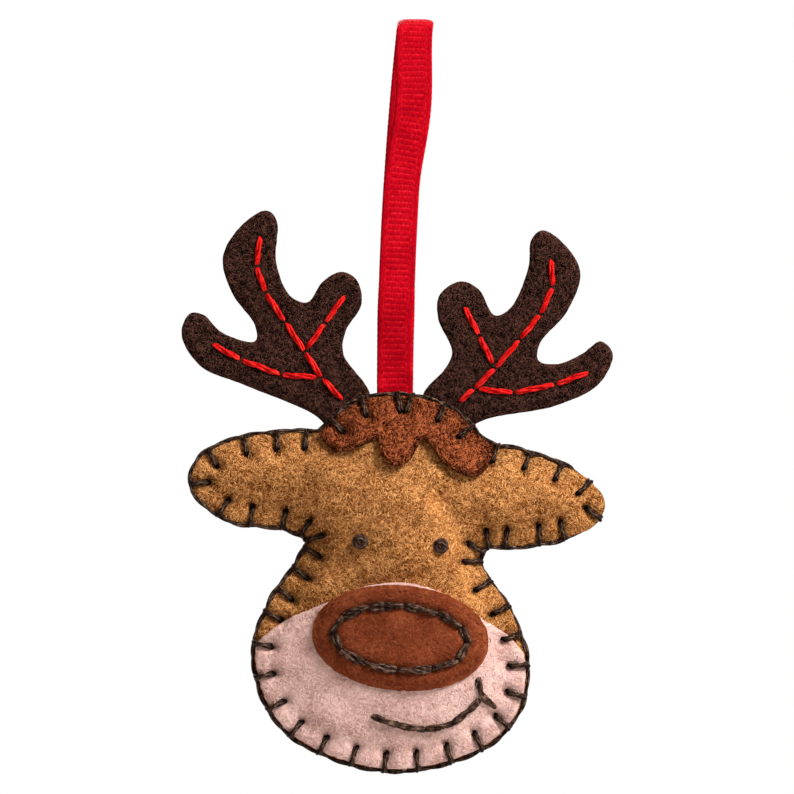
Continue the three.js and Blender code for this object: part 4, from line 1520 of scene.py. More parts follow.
@dataclass
class FeltCut:
    """A felt piece: a cut outline with a near and a far face and a rounded edge."""

    name: str
    node: str
    outline: Array
    near: Height
    far: Height
    finish: Union[FeltFinish, FillingFinish]
    step: float = 0.55
    edge_round: float = 0.3
    ragged: float = 0.06
    grow: float = 0.0
    soft: float = 0.25
    holes: Optional[Array] = None
    # Painted shade and highlight on the faces, by place
    worn: Optional[Height] = None
    seed: int = 1
    edge_rows: int = 6
    held: str = "laid"
    rests_on: str = "head_front_cloth"

    RAGGED_WAVE = 1.6
    SOFT_WIDTH = 0.6
    FAR_SOFT = 0.3
    HOLE_SIDES = 7
    HOLE_RINGS = (0.24, 0.5)
    HOLE_CLEAR = 0.7
    EDGE_CLEAR = 0.4

    def size(self) -> Point:
        """The flat width and length in metres."""
        spread = np.ptp(self.outline, axis=0) * MM
        return float(spread[0]), float(spread[1])

    def mesh(self) -> Piece:
        """Near and far faces over one triangulation, and an edge whose profile bulges between them.

        The faces stop edge_round inside the outline, and the edge's rows go out from there by
        edge_round times 1 minus the fourth power of their distance from mid thickness.

        Returns:
            The closed mesh, with its painted shading.
        """
        rim = anticlockwise(resample(self.outline, self.step, True))
        outward = outward_from(rim)
        rim = rim + outward * (self.grow + ripple(rim, self.ragged, self.RAGGED_WAVE, self.seed))[:, None]
        inset = rim - self.edge_round * outward
        flat, triangles = triangulated(inset, self.inner_points(inset))
        around, count = len(inset), len(flat)
        thin = self.soft * bell(edge_depth(inset, flat), self.SOFT_WIDTH)
        near = lifted(flat, self.near(flat) - thin)
        far = lifted(flat, self.far(flat) + self.FAR_SOFT * thin)
        share = np.linspace(0.0, 1.0, self.edge_rows + 2)[1:-1, None]
        bulge = self.edge_round * (1 - np.abs(2 * share - 1) ** 4)
        edge = inset + bulge[..., None] * outward
        edge = lifted(edge, -near[:around, 1] * (1 - share) - far[:around, 1] * share).reshape(-1, 3)
        ring = np.vstack([
            np.arange(around),
            2 * count + np.arange(len(edge)).reshape(self.edge_rows, -1),
            count + np.arange(around),
        ])
        after = np.roll(ring, -1, axis=1)
        quads = np.stack([ring[:-1], ring[1:], after[1:], after[:-1]], axis=-1).reshape(-1, 4)
        # Painted shading of the faces, carried round the edge rows
        worn = np.zeros(count) if self.worn is None else self.worn(flat)
        pressed = np.concatenate([worn, worn, np.tile(worn[:around], self.edge_rows)])
        faces = [triangles, triangles[:, ::-1] + count, quads]
        return Piece(np.vstack([near, far, edge]), faces, pressed=pressed)

    def inner_points(self, inset: Array) -> Array:
        """Points inside the edge, with rings of closer ones round needle holes.

        Args:
            inset: The line where the faces stop.

        Returns:
            The points, (n, 2).
        """
        points = lattice_points(inset, self.step, self.seed)
        if self.holes is not None:
            angle = np.linspace(0, WHOLE_TURN, self.HOLE_SIDES, endpoint=False)
            ring = np.stack([np.cos(angle), np.sin(angle)], axis=1)
            around = np.vstack([[[0.0, 0.0]], *(radius * ring for radius in self.HOLE_RINGS)])
            far = nearest(self.holes, points) > self.HOLE_CLEAR
            points = np.vstack([points[far], (self.holes[:, None] + around).reshape(-1, 2)])
        return points[edge_depth(inset, points) > self.EDGE_CLEAR * self.step]

    def build(self, sheet: Sheet) -> Object:
        """Makes the piece, in place of its solid."""
        made = self.mesh().to_object(self.name, sheet, self.finish.material())
        return fitted(made, self.node)

    def build_sheet(self, sheet: Sheet) -> Object:
        made = self.build(sheet)
        self.size()
        return made


@dataclass
class FibreCoat:
    """Loose fibres that lie on a felt face, each a tapered three-sided strand with both ends in the felt."""

    name: str
    outline: Array
    face: Height
    finish: FeltFinish
    count: int
    seed: int
    towards: float = -1.0
    length: Point = (0.7, 1.7)
    radius: Point = (0.035, 0.065)
    lift: Point = (0.0, 0.06)
    stray: float = 0.01
    inset: float = 0.2
    sections: int = 3

    TRIES = 4
    OUTLINE_STEP = 0.9
    BEND = 0.1
    STRAY_RISE = 0.35
    SIDES = 3
    THINNEST = 0.15
    PALE_SHARE = 0.7
    PALE_TONES = (0.45, 1.0)
    DARK_TONES = (0.0, 0.3)

    def mesh(self) -> Piece:
        """Fibres at random places and headings.

        Each is an arc, lifted most at its middle, and a stray one rises with the square of the way along
        it. Its radius falls off to its ends with the third power of the way from its middle.

        Returns:
            The fibres' mesh, with each one's tone as u and the way along it as v.
        """
        random = np.random.default_rng(self.seed)
        tried = self.TRIES * self.count
        roots = random.uniform(self.outline.min(0), self.outline.max(0), (tried, 2))
        heading = random.uniform(0, math.pi, tried)
        length = random.uniform(*self.length, tried)
        ends = np.stack([np.cos(heading), np.sin(heading)], axis=1) * (length / 2)[:, None]
        coarse = resample(self.outline, self.OUTLINE_STEP, True)
        tips = np.stack([roots - ends, roots, roots + ends], axis=1)
        kept = np.flatnonzero((edge_depth(coarse, tips) > self.inset).all(1))[: self.count]
        roots, heading, length, ends = roots[kept], heading[kept], length[kept], ends[kept]
        count = len(kept)
        t = np.linspace(0.0, 1.0, self.sections)
        bend = random.normal(0, self.BEND, count) * length
        square = np.stack([-np.sin(heading), np.cos(heading)], axis=1)
        arc = (4 * t * (1 - t))[None, :, None]
        line = roots[:, None] + (2 * t - 1)[None, :, None] * ends[:, None]
        line = line + arc * (bend[:, None] * square)[:, None]
        lift = random.uniform(*self.lift, count)[:, None]
        stray = random.uniform(size=count) < self.stray
        rise = np.where(stray[:, None], lift + self.STRAY_RISE * t**2 * length[:, None], lift * arc[..., 0])
        path = lifted(line, -self.towards * (self.face(line) + rise))
        radius = random.uniform(*self.radius, count)
        side, up = frames_along(path, np.broadcast_to(BACKWARD, path.shape), False)
        angle = WHOLE_TURN * np.arange(self.SIDES) / self.SIDES
        taper = np.clip(1 + self.THINNEST - np.abs(2 * t - 1) ** 3, self.THINNEST, 1.0)
        ring = np.cos(angle)[:, None] * side[:, :, None] + np.sin(angle)[:, None] * up[:, :, None]
        vertices = path[:, :, None] + (radius[:, None] * taper)[..., None, None] * ring
        is_pale = random.uniform(size=count) < self.PALE_SHARE
        pale, dark = random.uniform(*self.PALE_TONES, count), random.uniform(*self.DARK_TONES, count)
        uv = uv_map(np.where(is_pale, pale, dark)[:, None, None], t[None, :, None], vertices.shape[:3])
        return Piece(vertices.reshape(-1, 3), tube_faces(count, self.sections, self.SIDES), uv)

    def build(self, sheet: Sheet) -> Object:
        """Makes the coat, which rides with the felt."""
        made = self.mesh().to_object(self.name, sheet, self.finish.fibre_material())
        return fitted(made)


# Stitches


def sewn(node: str, finish: ThreadFinish, mesh: Piece, sheet: Sheet) -> Object:
    """Makes a sewn thread in place of its solid."""
    made = mesh.to_object(f"{node}_thread", sheet, finish.material())
    return fitted(made, node)


@dataclass
class BlanketStitch:
    """The thread round the head's edge: a ring along it, and a loop over it at every stitch."""

    form: HeadForm
    ring_strands: Strands = Strands(turn=9.0)
    ring_step: float = 0.35
    off_edge: float = 0.52
    drawn_in: float = 0.08
    drawn_width: float = 0.8
    sway: Wave = (0.06, 7.0, 11)
    wander: Wave = (0.12, 5.0, 12)
    ring_height: float = 0.55 * FELT
    slip_fade: float = 3.0
    slipped_in: float = 0.55
    slipped_back: float = 1.4 * FELT
    loop_strands: Strands = Strands(radius=0.32, spacing=0.32, turn=60.0)
    loop_reach: float = 0.36
    slipped_reach: float = 0.16
    over_edge: float = 0.75
    loop_span_steps: int = 5
    sunk_reach: Point = (0.2, 1.0)

    LEG_SHARES = np.array([0.0, 0.05, 0.16, 0.4, 0.68, 0.9])
    LEG_RISE = np.array([-0.9, -0.1, 0.3, 0.34, 0.3, 0.25])

    def slipped(self, place: Array) -> Array:
        """How far the ring has slipped behind the edge.

        Args:
            place: Distances along the edge.

        Returns:
            The slip there, from 0 to 1.
        """
        fade = self.slip_fade
        runs = [
            share * smoothstep(place, start - fade, start) * (1 - smoothstep(place, end, end + fade))
            for start, end, share in SLIPPED_EDGES
        ]
        return np.max(runs, axis=0)

    def ring(self) -> Piece:
        """The edge thread: off the edge by its own thickness, drawn in at each stitch, wavy between them.

        Returns:
            The ring's mesh.
        """
        outline = self.form.outline
        length = reach_along(np.vstack([outline, outline[:1]]))[-1]
        place = np.linspace(0.0, length, int(length / self.ring_step), endpoint=False)
        edge, outward = places_on(outline, place)
        stitch = self.form.stitches.place
        gap = np.abs((place[:, None] - stitch + length / 2) % length - length / 2).min(1)
        drawn = self.drawn_in * bell(gap, self.drawn_width)
        slipped, seam = self.slipped(place), self.form.seam(edge)
        off = self.off_edge - drawn + ripple(place[:, None], *self.sway) - self.slipped_in * slipped
        height = seam + self.ring_height - (2 * seam + self.slipped_back) * slipped
        path = lifted(edge + off[:, None] * outward, height + ripple(place[:, None], *self.wander))
        return self.ring_strands.lay(path, BACKWARD, True)

    def loops(self) -> Piece:
        """The loops: up from the needle hole, along the face to the edge, over the ring and back behind.

        Returns:
            The loops' mesh.
        """
        stitches = self.form.stitches
        reach_out = self.loop_reach - self.slipped_reach * self.slipped(stitches.place)
        edge = stitches.edge + reach_out[:, None] * stitches.outward
        run = edge - stitches.hole
        places = stitches.hole[:, None] + self.LEG_SHARES[:, None] * run[:, None]
        front = lifted(places, self.form.face_top(places) + self.LEG_RISE)
        back = lifted(places, -(self.form.back_outer(places) + self.LEG_RISE))[:, ::-1]
        edge_height = -self.over_edge * np.stack([front[:, -1, 1], back[:, 0, 1]], axis=1)
        over = lifted(np.stack([edge, edge], axis=1), edge_height)
        path = spline(np.concatenate([front, over, back], axis=1), True, self.loop_span_steps)
        across = np.stack([run[:, 1], np.zeros(len(run)), -run[:, 0]], axis=1)[:, None]
        return self.loop_strands.lay(path, across, True)

    def build(self, sheet: Sheet) -> Object:
        """Makes the whole stitch as one piece, with painted shade where it dives into a needle hole."""
        mesh = Piece.joined([self.ring(), self.loops()])
        from_hole = nearest(self.form.stitches.hole, mesh.vertices[:, ::2])
        # Painted shade on the thread near each needle hole, kept as its attribute pressed
        mesh.pressed = 1 - smoothstep(from_hole, *self.sunk_reach)
        return sewn("edge_blanket_stitch", DARK_THREAD, mesh, sheet)


@dataclass
class RunningStitch:
    """A row of running stitches through points, on a front face and behind a back face."""

    node: str
    points: Sequence[Point]
    front: Height
    back: Height
    finish: ThreadFinish
    strands: Strands
    closed: bool = False
    gap: float = 0.1
    per_span: int = 7
    rest: float = 0.26
    bow: float = 0.0

    SHARES = np.array([0.0, 0.03, 0.14, 0.5, 0.86, 0.97, 1.0])
    RISE = np.array([-0.8, 0.0, 0.8, 1.05, 0.8, 0.0, -0.8])
    OPEN = np.array([0.6, 0.5, 0.75, 1.05, 1.2, 1.05, 0.75, 0.5, 0.6])

    def mesh(self) -> Piece:
        """One thread that arcs over the face from hole to hole and passes behind it between stitches.

        Each stitch rises by RISE times rest at SHARES of its length, bows sideways as a parabola, and
        its strands open by OPEN from the hole behind it to the next one.

        Returns:
            The row's mesh.
        """
        points = np.array(self.points)
        start = points if self.closed else points[:-1]
        end = np.roll(points, -1, axis=0) if self.closed else points[1:]
        run = end - start
        run = run / np.linalg.norm(run, axis=1, keepdims=True)
        inset = np.full((len(start), 2), self.gap / 2)
        if not self.closed:
            inset[0, 0] = 0.0
            inset[-1, 1] = 0.0
        start = start + run * inset[:, :1]
        end = end - run * inset[:, 1:]
        share = self.SHARES[:, None]
        square = np.stack([run[:, 1], -run[:, 0]], axis=1)
        places = start[:, None] + share * (end - start)[:, None]
        places = places + self.bow * (4 * share * (1 - share)) * square[:, None]
        over = lifted(places, self.front(places) + self.RISE * self.rest)
        ends = np.stack([start, end], axis=1)
        under = lifted(ends, self.back(ends) - self.rest)
        control = np.concatenate([under[:, :1], over, under[:, 1:]], axis=1).reshape(-1, 3)
        across = np.repeat(lifted(square, 0.0), len(self.OPEN), axis=0)
        laid = np.column_stack([across, np.tile(self.OPEN, len(start))])
        if self.closed:
            laid = np.vstack([laid, laid[:1]])
        path = spline(control, self.closed, self.per_span)
        at = np.linspace(0, len(laid) - 1, len(path), endpoint=not self.closed)
        laid = np.stack([np.interp(at, np.arange(len(laid)), column) for column in laid.T], axis=1)
        return self.strands.lay(path, laid[None, :, :3], self.closed, laid[:, 3])

    def build(self, sheet: Sheet) -> Object:
        """Makes the row."""
        return sewn(self.node, self.finish, self.mesh(), sheet)


@dataclass
class EyeKnot:
    """A wound knot: turns of thread about the needle, settling on the felt, with its stem through it."""

    side: Side
    form: HeadForm
    turns: float = 3.4
    radius: float = 0.9
    height: float = 0.95
    strands: Strands = Strands(radius=0.27, turn=4.0)

    COIL_POINTS = 120
    SWELL_START = 0.22
    SWELL_SPAN = 0.765
    SWELL_POWER = 0.6
    OFF_FELT = 0.22
    STEM_POINTS = 12
    STEM_TOP = 1.0
    STEM_PAST_FELT = 0.4
    ACROSS = np.array([0.3, 0.2, 1.0])

    def mesh(self) -> Piece:
        """A coil whose radius follows a power of a half sine over its height, with a stem down the middle.

        Returns:
            The knot's mesh.
        """
        centre = np.array(EYES[self.side])
        seat = float(self.form.front_outer(centre[None])[0])
        t = np.linspace(0.0, 1.0, self.COIL_POINTS)
        angle = WHOLE_TURN * self.turns * t
        swell = np.sin(math.pi * (self.SWELL_START + self.SWELL_SPAN * t)) ** self.SWELL_POWER
        circles = (self.radius * swell)[:, None] * np.stack([np.cos(angle), np.sin(angle)], axis=1)
        coil = lifted(centre + circles, seat + self.OFF_FELT + self.height * t)
        depth = np.linspace(seat + self.STEM_TOP, seat - FELT - self.STEM_PAST_FELT, self.STEM_POINTS)
        stem = lifted(np.broadcast_to(centre, (self.STEM_POINTS, 2)), depth)
        return self.strands.lay(np.vstack([coil, stem]), self.ACROSS, False)

    def build(self, sheet: Sheet) -> Object:
        """Makes the knot."""
        return sewn(f"{self.side.value}_eye_knot", FACE_THREAD, self.mesh(), sheet)


# Ribbon


@dataclass
class RibbonLoop:
    """The grosgrain ribbon: one strip up, over the hanging point and down, with its ends sewn in."""

    rib_depth: float = 0.1
    border: float = 1.0
    steps_a_rib: int = 8
    columns: int = 21
    fold_reach: float = 2.0
    foot: float = 1.2
    tuck: float = 0.2
    end_inset: float = 0.02
    droop: float = 0.4
    twist: float = math.radians(-13)

    STRAND_POINTS = 240
    TOP_POINTS = 60
    TURNED = 4.5
    TURNS_BACK = (11.0, 20.0)
    CROWDED = 0.8
    RIB_POWER = 0.7
    RIB_END_BOW = 0.14
    BORDER_EDGE = np.array([0.8, 1.15])
    BORDER_THINNED = 0.03
    EDGE_ROUND = 0.2
    EDGE_THINNEST = 0.06
    SCALLOP = 0.02
    SCALLOP_REACH = 0.3
    DROOP_POWER = 5
    DROOP_REACH = 1.5

    def turn(self, z: Array) -> Array:
        """How far both strands turn about the upright at a height, a little to the left above the seam."""
        return self.twist * smoothstep(z, self.foot, self.TURNED) * (1 - smoothstep(z, *self.TURNS_BACK))

    def path(self) -> Array:
        """The strip's middle line, from the head's edge up the front strand, over and down behind.

        The strands part from the seam to the shoulder, and a half circle joins them at the top. The loop
        leans to the right with the square of its height, and the front strand bows out as a sine squared.

        Returns:
            The line's points, (n, 3).
        """
        shoulder = LOOP_HEIGHT - LOOP_RADIUS
        close_y, open_y = (CLEARANCE + RIBBON) / 2, LOOP_RADIUS + RIBBON / 2

        def placed(y: Array, z: Array) -> Array:
            """Points of the line.

            Args:
                y: Distances behind the loop's middle.
                z: Heights.

            Returns:
                The points, leaning, bowed and turned.
            """
            lean = LOOP_LEAN * (np.clip(z, 0, LOOP_HEIGHT) / LOOP_HEIGHT) ** 2
            share = np.clip((z - LOOP_SPLAY_START) / (LOOP_HEIGHT - LOOP_SPLAY_START), 0, 1)
            bow = np.where(y < 0, LOOP_SPLAY * np.sin(math.pi * share) ** 2, 0.0)
            turn = self.turn(z)
            return np.column_stack([lean + bow - y * np.sin(turn), y * np.cos(turn), z])

        z = np.linspace(self.foot, shoulder, self.STRAND_POINTS, endpoint=False)
        y = close_y + (open_y - close_y) * smoothstep(z, FOLD_HEIGHT - CLEARANCE, shoulder)
        angle = np.linspace(math.pi, 0.0, self.TOP_POINTS)
        top = placed(open_y * np.cos(angle), shoulder + open_y * np.sin(angle))
        line = np.vstack([placed(-y, z), top, placed(y, z)[::-1]])
        return resample(line, RIB_PITCH / self.steps_a_rib, False)

    def strip(self, path: Array) -> Piece:
        """The ribbed strip along a path.

        Half its thickness is a power of a sine with one crest a rib, damped in the woven border, and
        falls off round its edges as a quarter circle. The edge itself has a small scallop at each rib,
        and the edges droop a little over the loop's top.

        Args:
            path: The strip's middle line.

        Returns:
            The strip's mesh, with u across it and v along it, in ribbon widths.
        """
        reach = reach_along(path)
        place = np.linspace(-1.0, 1.0, self.columns)
        place = np.sign(place) * np.abs(place) ** self.CROWDED
        across = place * RIBBON_WIDTH / 2
        from_edge = RIBBON_WIDTH / 2 - np.abs(across)
        wave = 2 * np.abs(np.sin(math.pi * reach / RIB_PITCH))[:, None] ** self.RIB_POWER - 1
        ribbed = smoothstep(from_edge + self.RIB_END_BOW * wave, *(self.border * self.BORDER_EDGE))
        half = RIBBON / 2 - self.rib_depth * (0.5 - 0.5 * wave) * ribbed - self.BORDER_THINNED * (1 - ribbed)
        round_edge = 1 - (1 - np.clip(from_edge / self.EDGE_ROUND, 0.0, 1.0)) ** 2
        half = half * np.sqrt(np.clip(round_edge, self.EDGE_THINNEST, 1.0))
        a = across + self.SCALLOP * wave * np.sign(across) * (from_edge < self.SCALLOP_REACH)
        a = np.concatenate([a, a[:, ::-1]], axis=1)
        b = np.concatenate([-half, half[:, ::-1]], axis=1)
        turn = self.turn(path[:, 2])
        level = np.column_stack([np.cos(turn), np.sin(turn), np.zeros_like(turn)])
        side, up = frames_along(path, level, False)
        vertices = path[:, None] + a[..., None] * side[:, None] + b[..., None] * up[:, None]
        around = np.concatenate([place, place[::-1]])
        over_top = smoothstep(path[:, 2], LOOP_HEIGHT - self.DROOP_REACH, LOOP_HEIGHT)[:, None]
        vertices[..., 2] -= self.droop * over_top * np.abs(around) ** self.DROOP_POWER
        uv = uv_map(around / 2 + 0.5, (reach / RIBBON_WIDTH)[:, None], a.shape)
        return Piece(vertices.reshape(-1, 3), tube_faces(1, *a.shape), uv)

    def build(self, sheet: Sheet) -> list[Object]:
        """Makes the loop and its two sewn ends.

        Args:
            sheet: The pattern sheet's place.

        Returns:
            The three pieces.
        """
        cloth = RED_RIBBON.material()
        path = self.path()
        loop = self.strip(path).to_object("ribbon_loop_strip", sheet, cloth)
        fold = np.array([0.0, 0.0, FOLD_HEIGHT])
        reach = np.array([0.0, 0.0, self.fold_reach])
        start, end = sheet.to_row(fold + reach), sheet.to_row(fold - reach)
        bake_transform(loop)
        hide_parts("ribbon_loop")
        line = sheet.to_row(path)
        made = [loop]
        top = self.foot + self.tuck
        z = np.linspace(top, -SEWN_LENGTH, round((top + SEWN_LENGTH) / RIB_PITCH * self.steps_a_rib))
        for name, sign in (("front", -1), ("back", 1)):
            y = sign * ((CLEARANCE + RIBBON) / 2 - self.end_inset)
            end_path = np.column_stack([np.zeros_like(z), np.full_like(z, y), z])[::-1]
            piece = self.strip(end_path).to_object(f"ribbon_{name}_end_strip", sheet, cloth)
            made.append(fitted(piece, f"ribbon_{name}_end"))
        return made


# The sewn head


@dataclass(frozen=True)
class Nose:
    """The oval nose patch and its ring of stitches."""

    squareness: float = 2.06
    outline_points: int = 400
    ring_inset: float = 3.4
    ring_stitches: int = 12
    groove: float = 0.42
    groove_width: float = 1.0
    hole_dip: float = 0.28
    hole_share: float = 0.2
    rim_thinned: float = 0.5
    rim_width: float = 1.4

    CENTRE = np.array([0.9, -40.0])
    HALF = np.array([14.7, 8.8])
    COSINE = math.cos(math.radians(-5))
    SINE = math.sin(math.radians(-5))

    def outline(self, share: Array, inset: float = 0.0) -> Array:
        """Points of a turned superellipse: powers of a cosine and a sine, times its half width and height.

        Args:
            share: Shares of a turn.
            inset: How far it is drawn in.

        Returns:
            The points, (n, 2).
        """
        angle = WHOLE_TURN * share
        power = 2 / self.squareness
        x = (self.HALF[0] - inset) * np.sign(np.cos(angle)) * np.abs(np.cos(angle)) ** power
        z = (self.HALF[1] - inset) * np.sign(np.sin(angle)) * np.abs(np.sin(angle)) ** power
        turned = np.stack([self.COSINE * x - self.SINE * z, self.SINE * x + self.COSINE * z], axis=-1)
        return self.CENTRE + turned

    def cut(self) -> Array:
        """The cut outline."""
        share = np.linspace(0, 1, self.outline_points, endpoint=False)
        return resample(self.outline(share), OUTLINE_STEP, True)

    def ring_points(self) -> Array:
        """Where the ring's stitches meet."""
        return self.outline(-np.arange(self.ring_stitches) / self.ring_stitches, self.ring_inset)

    def pressed(self, points: Array) -> Array:
        """How far the ring of stitches draws the patch in: a bell along it, deeper at its holes."""
        ring = self.ring_points()
        away, share = segment_distance(ring, np.roll(ring, -1, axis=0), points)
        at_hole = np.maximum(1 - share / self.hole_share, 1 - (1 - share) / self.hole_share).clip(0, 1)
        return ((self.groove + self.hole_dip * at_hole) * bell(away, self.groove_width)).max(-1)

    def thinned(self, points: Array) -> Array:
        """How far the patch is pressed thin towards its rim.

        The way in from the rim is 1 minus the superellipse's own radius, times its half height.

        Args:
            points: Places, (..., 2).

        Returns:
            The depth there.
        """
        x, z = np.moveaxis(points - self.CENTRE, -1, 0)
        along = np.stack([self.COSINE * x + self.SINE * z, self.COSINE * z - self.SINE * x], axis=-1)
        radius = (np.abs(along / self.HALF) ** self.squareness).sum(-1) ** (1 / self.squareness)
        return self.rim_thinned * bell((1 - radius) * self.HALF[1], self.rim_width)


@dataclass
class ReindeerHead:
    """The stuffed head: two felts, patches, face stitches and the stitched edge."""

    form: HeadForm
    layer_gap: float = 0.06
    least_felt: float = 0.3
    overlap: float = 0.3
    muzzle_overlap: float = 0.05
    fine_step: float = 0.45
    nose_soft: float = 0.5
    ring_strands: Strands = Strands(radius=0.4, spacing=0.36, turn=15.0)
    ring_gap: float = 0.7
    smile_strands: Strands = Strands(radius=0.41, spacing=0.18)
    smile_bow: float = 0.2
    corner_bow: float = 0.8
    nose: Nose = Nose()

    def nose_outer(self, points: Array) -> Array:
        """The nose patch's face."""
        rise = self.form.front_inner(points) + 3 * FELT + 2 * CLEARANCE + self.form.lumps(points)
        return rise - self.nose.pressed(points) - self.nose.thinned(points)

    def patch_outline(self, points: Sequence[Point]) -> Array:
        """The part of a patch's outline inside the head, closed along the head's own edge.

        Args:
            points: The patch's pattern.

        Returns:
            The trimmed outline.
        """

        def run_inside(line: Array, other: Array) -> Array:
            """The stretch of one closed line that lies inside another.

            Args:
                line: The line.
                other: The outline round the stretch.

            Returns:
                The stretch's points, from where it goes in.
            """
            inside = is_inside(other, line)
            first = int(np.argmax(inside & ~np.roll(inside, 1)))
            return np.roll(line, -first, axis=0)[: int(inside.sum())]

        own, head = cut_line(points), self.form.outline
        own_run, head_run = run_inside(own, head), run_inside(head, own)
        from_start, from_end = (np.linalg.norm(head_run[end] - own_run[-1]) for end in (0, -1))
        return np.vstack([own_run, head_run if from_start < from_end else head_run[::-1]])

    def felts(self) -> list[FeltCut]:
        """The five felts of the head.

        Returns:
            The front, the back, the forelock, the muzzle and the nose.
        """
        form, gap, least = self.form, self.layer_gap, self.least_felt
        # The sewn felts get painted shade at the stitches' legs and needle holes
        sewn_in = {"holes": form.holes(), "worn": form.worn}
        stuffed = {"grow": self.overlap, "held": "stretched", "rests_on": "fibre_filling"}
        return [
            # The front felt gets painted shade at its stitches and a painted highlight on the brow
            FeltCut(
                "head_front_cloth", "head_front_felt", form.outline, form.front_outer,
                lambda p: np.minimum(form.front_inner(p), form.front_outer(p) - least),
                TAN_FELT, holes=form.holes(), worn=form.handled, seed=21, **stuffed,
            ),
            FeltCut(
                "head_back_cloth", "head_back_felt", form.outline,
                lambda p: -np.minimum(form.back_inner(p), form.back_outer(p) - least),
                lambda p: -form.back_outer(p), TAN_FELT, seed=22, **sewn_in, **stuffed,
            ),
            FeltCut(
                "hair_cloth", "hair_felt", self.patch_outline(HAIR_POINTS), form.hair_outer,
                lambda p: form.front_outer(p) + gap + form.hair_lift(p),
                RUSSET_FELT, self.fine_step, grow=self.overlap, seed=23, **sewn_in,
            ),
            FeltCut(
                "muzzle_cloth", "muzzle_felt", self.patch_outline(MUZZLE_POINTS), form.patch_outer,
                lambda p: form.front_outer(p) + gap,
                PINK_FELT, grow=self.muzzle_overlap, seed=24, **sewn_in,
            ),
            # The nose ring's groove depth also serves as painted shade along the ring
            FeltCut(
                "nose_cloth", "nose_felt", self.nose.cut(), self.nose_outer,
                lambda p: form.patch_outer(p) + gap,
                NOSE_FELT, self.fine_step, soft=self.nose_soft, worn=self.nose.pressed, seed=25,
                rests_on="muzzle_cloth",
            ),
        ]

    def stitches(self) -> list[Union[BlanketStitch, RunningStitch, EyeKnot]]:
        """The edge stitch and the stitches of the face.

        Returns:
            The edge, the nose's ring, the smile and its corner, and the eyes.
        """
        form = self.form
        mouth = (form.patch_outer, form.front_inner, FACE_THREAD, self.smile_strands)
        return [
            BlanketStitch(form),
            RunningStitch(
                "nose_ring_stitch", self.nose.ring_points(), self.nose_outer, form.front_inner, FACE_THREAD,
                self.ring_strands, True, self.ring_gap,
            ),
            RunningStitch("smile_stitch", SMILE_LINE, *mouth, bow=self.smile_bow),
            RunningStitch("smile_corner_stitch", SMILE_CORNER_LINE, *mouth, bow=self.corner_bow),
            *(EyeKnot(side, form) for side in Side),
        ]

    def build(self, sheet: Sheet) -> list[Object]:
        """Makes every piece of the head.

        Args:
            sheet: The pattern sheet's place.

        Returns:
            The felts, the stitches and the felts' fibres.
        """
        form, felts = self.form, self.felts()
        front, back, hair, muzzle, nose = (felt.outline for felt in felts)
        coats = [
            FibreCoat("head_front_fibres", front, form.front_outer, TAN_FELT, 13000, 31),
            FibreCoat("head_back_fibres", back, form.back_outer, TAN_FELT, 9000, 32, towards=1.0),
            FibreCoat("hair_fibres", hair, form.hair_outer, RUSSET_FELT, 4600, 33),
            FibreCoat("muzzle_fibres", muzzle, form.patch_outer, PINK_FELT, 4500, 34),
            FibreCoat("nose_fibres", nose, self.nose_outer, NOSE_FELT, 1800, 35),
        ]
        made = [felt.build_sheet(sheet) for felt in felts]
        return made + [piece.build(sheet) for piece in (*self.stitches(), *coats)]


@dataclass
class Antler:
    """A flat antler of stiff felt with three rows of red stitches, its tab sewn into the seam."""

    side: Side
    step: float = 0.5
    ragged: float = 0.02
    fibres: int = 3600
    back_fibres: int = 2200

    CUT_SEEDS = {Side.LEFT: 51, Side.RIGHT: 52}
    FIBRE_SEEDS = {Side.LEFT: 61, Side.RIGHT: 63}
    ROW_DEPTH = 0.18
    ROW_WIDTH = 0.7
    # Painted shade along the rows of stitches, this times how far they press in
    ROW_SHADE = 2.0
    ROW_STRANDS = Strands(count=3, radius=0.22, spacing=0.25, turn=11.0, sides=8)
    ROW_GAP = 0.9
    NEAR_LUMPS = (0.05, 5.0, 41)
    FAR_LUMPS = (0.05, 5.0, 42)

    def pressed(self, points: Array) -> Array:
        """How far the rows of stitches press the felt in: a bell along each.

        Args:
            points: Places, (..., 2).

        Returns:
            The depth there.
        """
        rows = [np.array(row) for row in ANTLER_ROWS[self.side].values()]
        starts = np.vstack([row[:-1] for row in rows])
        ends = np.vstack([row[1:] for row in rows])
        away, _ = segment_distance(starts, ends, points)
        return (self.ROW_DEPTH * bell(away, self.ROW_WIDTH)).max(-1)

    def near(self, points: Array) -> Array:
        """The face towards the viewer."""
        return ANTLER_FELT / 2 - self.pressed(points) + ripple(points, *self.NEAR_LUMPS)

    def far(self, points: Array) -> Array:
        """The face away from the viewer, pressed in half as far."""
        return -ANTLER_FELT / 2 + 0.5 * self.pressed(points) - ripple(points, *self.FAR_LUMPS)

    def build(self, sheet: Sheet) -> list[Object]:
        """Makes the antler, its stitches and its fibres.

        Args:
            sheet: The pattern sheet's place.

        Returns:
            The pieces.
        """
        name = f"{self.side.value}_antler"
        # The antler felt is painted darker along its rows of stitches: painted shade
        cut = FeltCut(
            f"{name}_cloth", f"{name}_felt", cut_line(ANTLER_OUTLINES[self.side]), self.near, self.far,
            BROWN_FELT, self.step, ragged=self.ragged, worn=lambda p: self.ROW_SHADE * self.pressed(p),
            seed=self.CUT_SEEDS[self.side], held="hung", rests_on="head_back_cloth",
        )
        rows = [
            RunningStitch(
                f"{name}_{row}_stitch", points, self.near, self.far, RED_THREAD, self.ROW_STRANDS,
                gap=self.ROW_GAP,
            )
            for row, points in ANTLER_ROWS[self.side].items()
        ]
        seed = self.FIBRE_SEEDS[self.side]
        coats = [
            FibreCoat(f"{name}_fibres", cut.outline, self.near, BROWN_FELT, self.fibres, seed),
            FibreCoat(
                f"{name}_back_fibres", cut.outline, lambda p: -self.far(p), BROWN_FELT, self.back_fibres,
                seed + 1, towards=1.0,
            ),
        ]
        return [cut.build_sheet(sheet), *(piece.build(sheet) for piece in (*rows, *coats))]


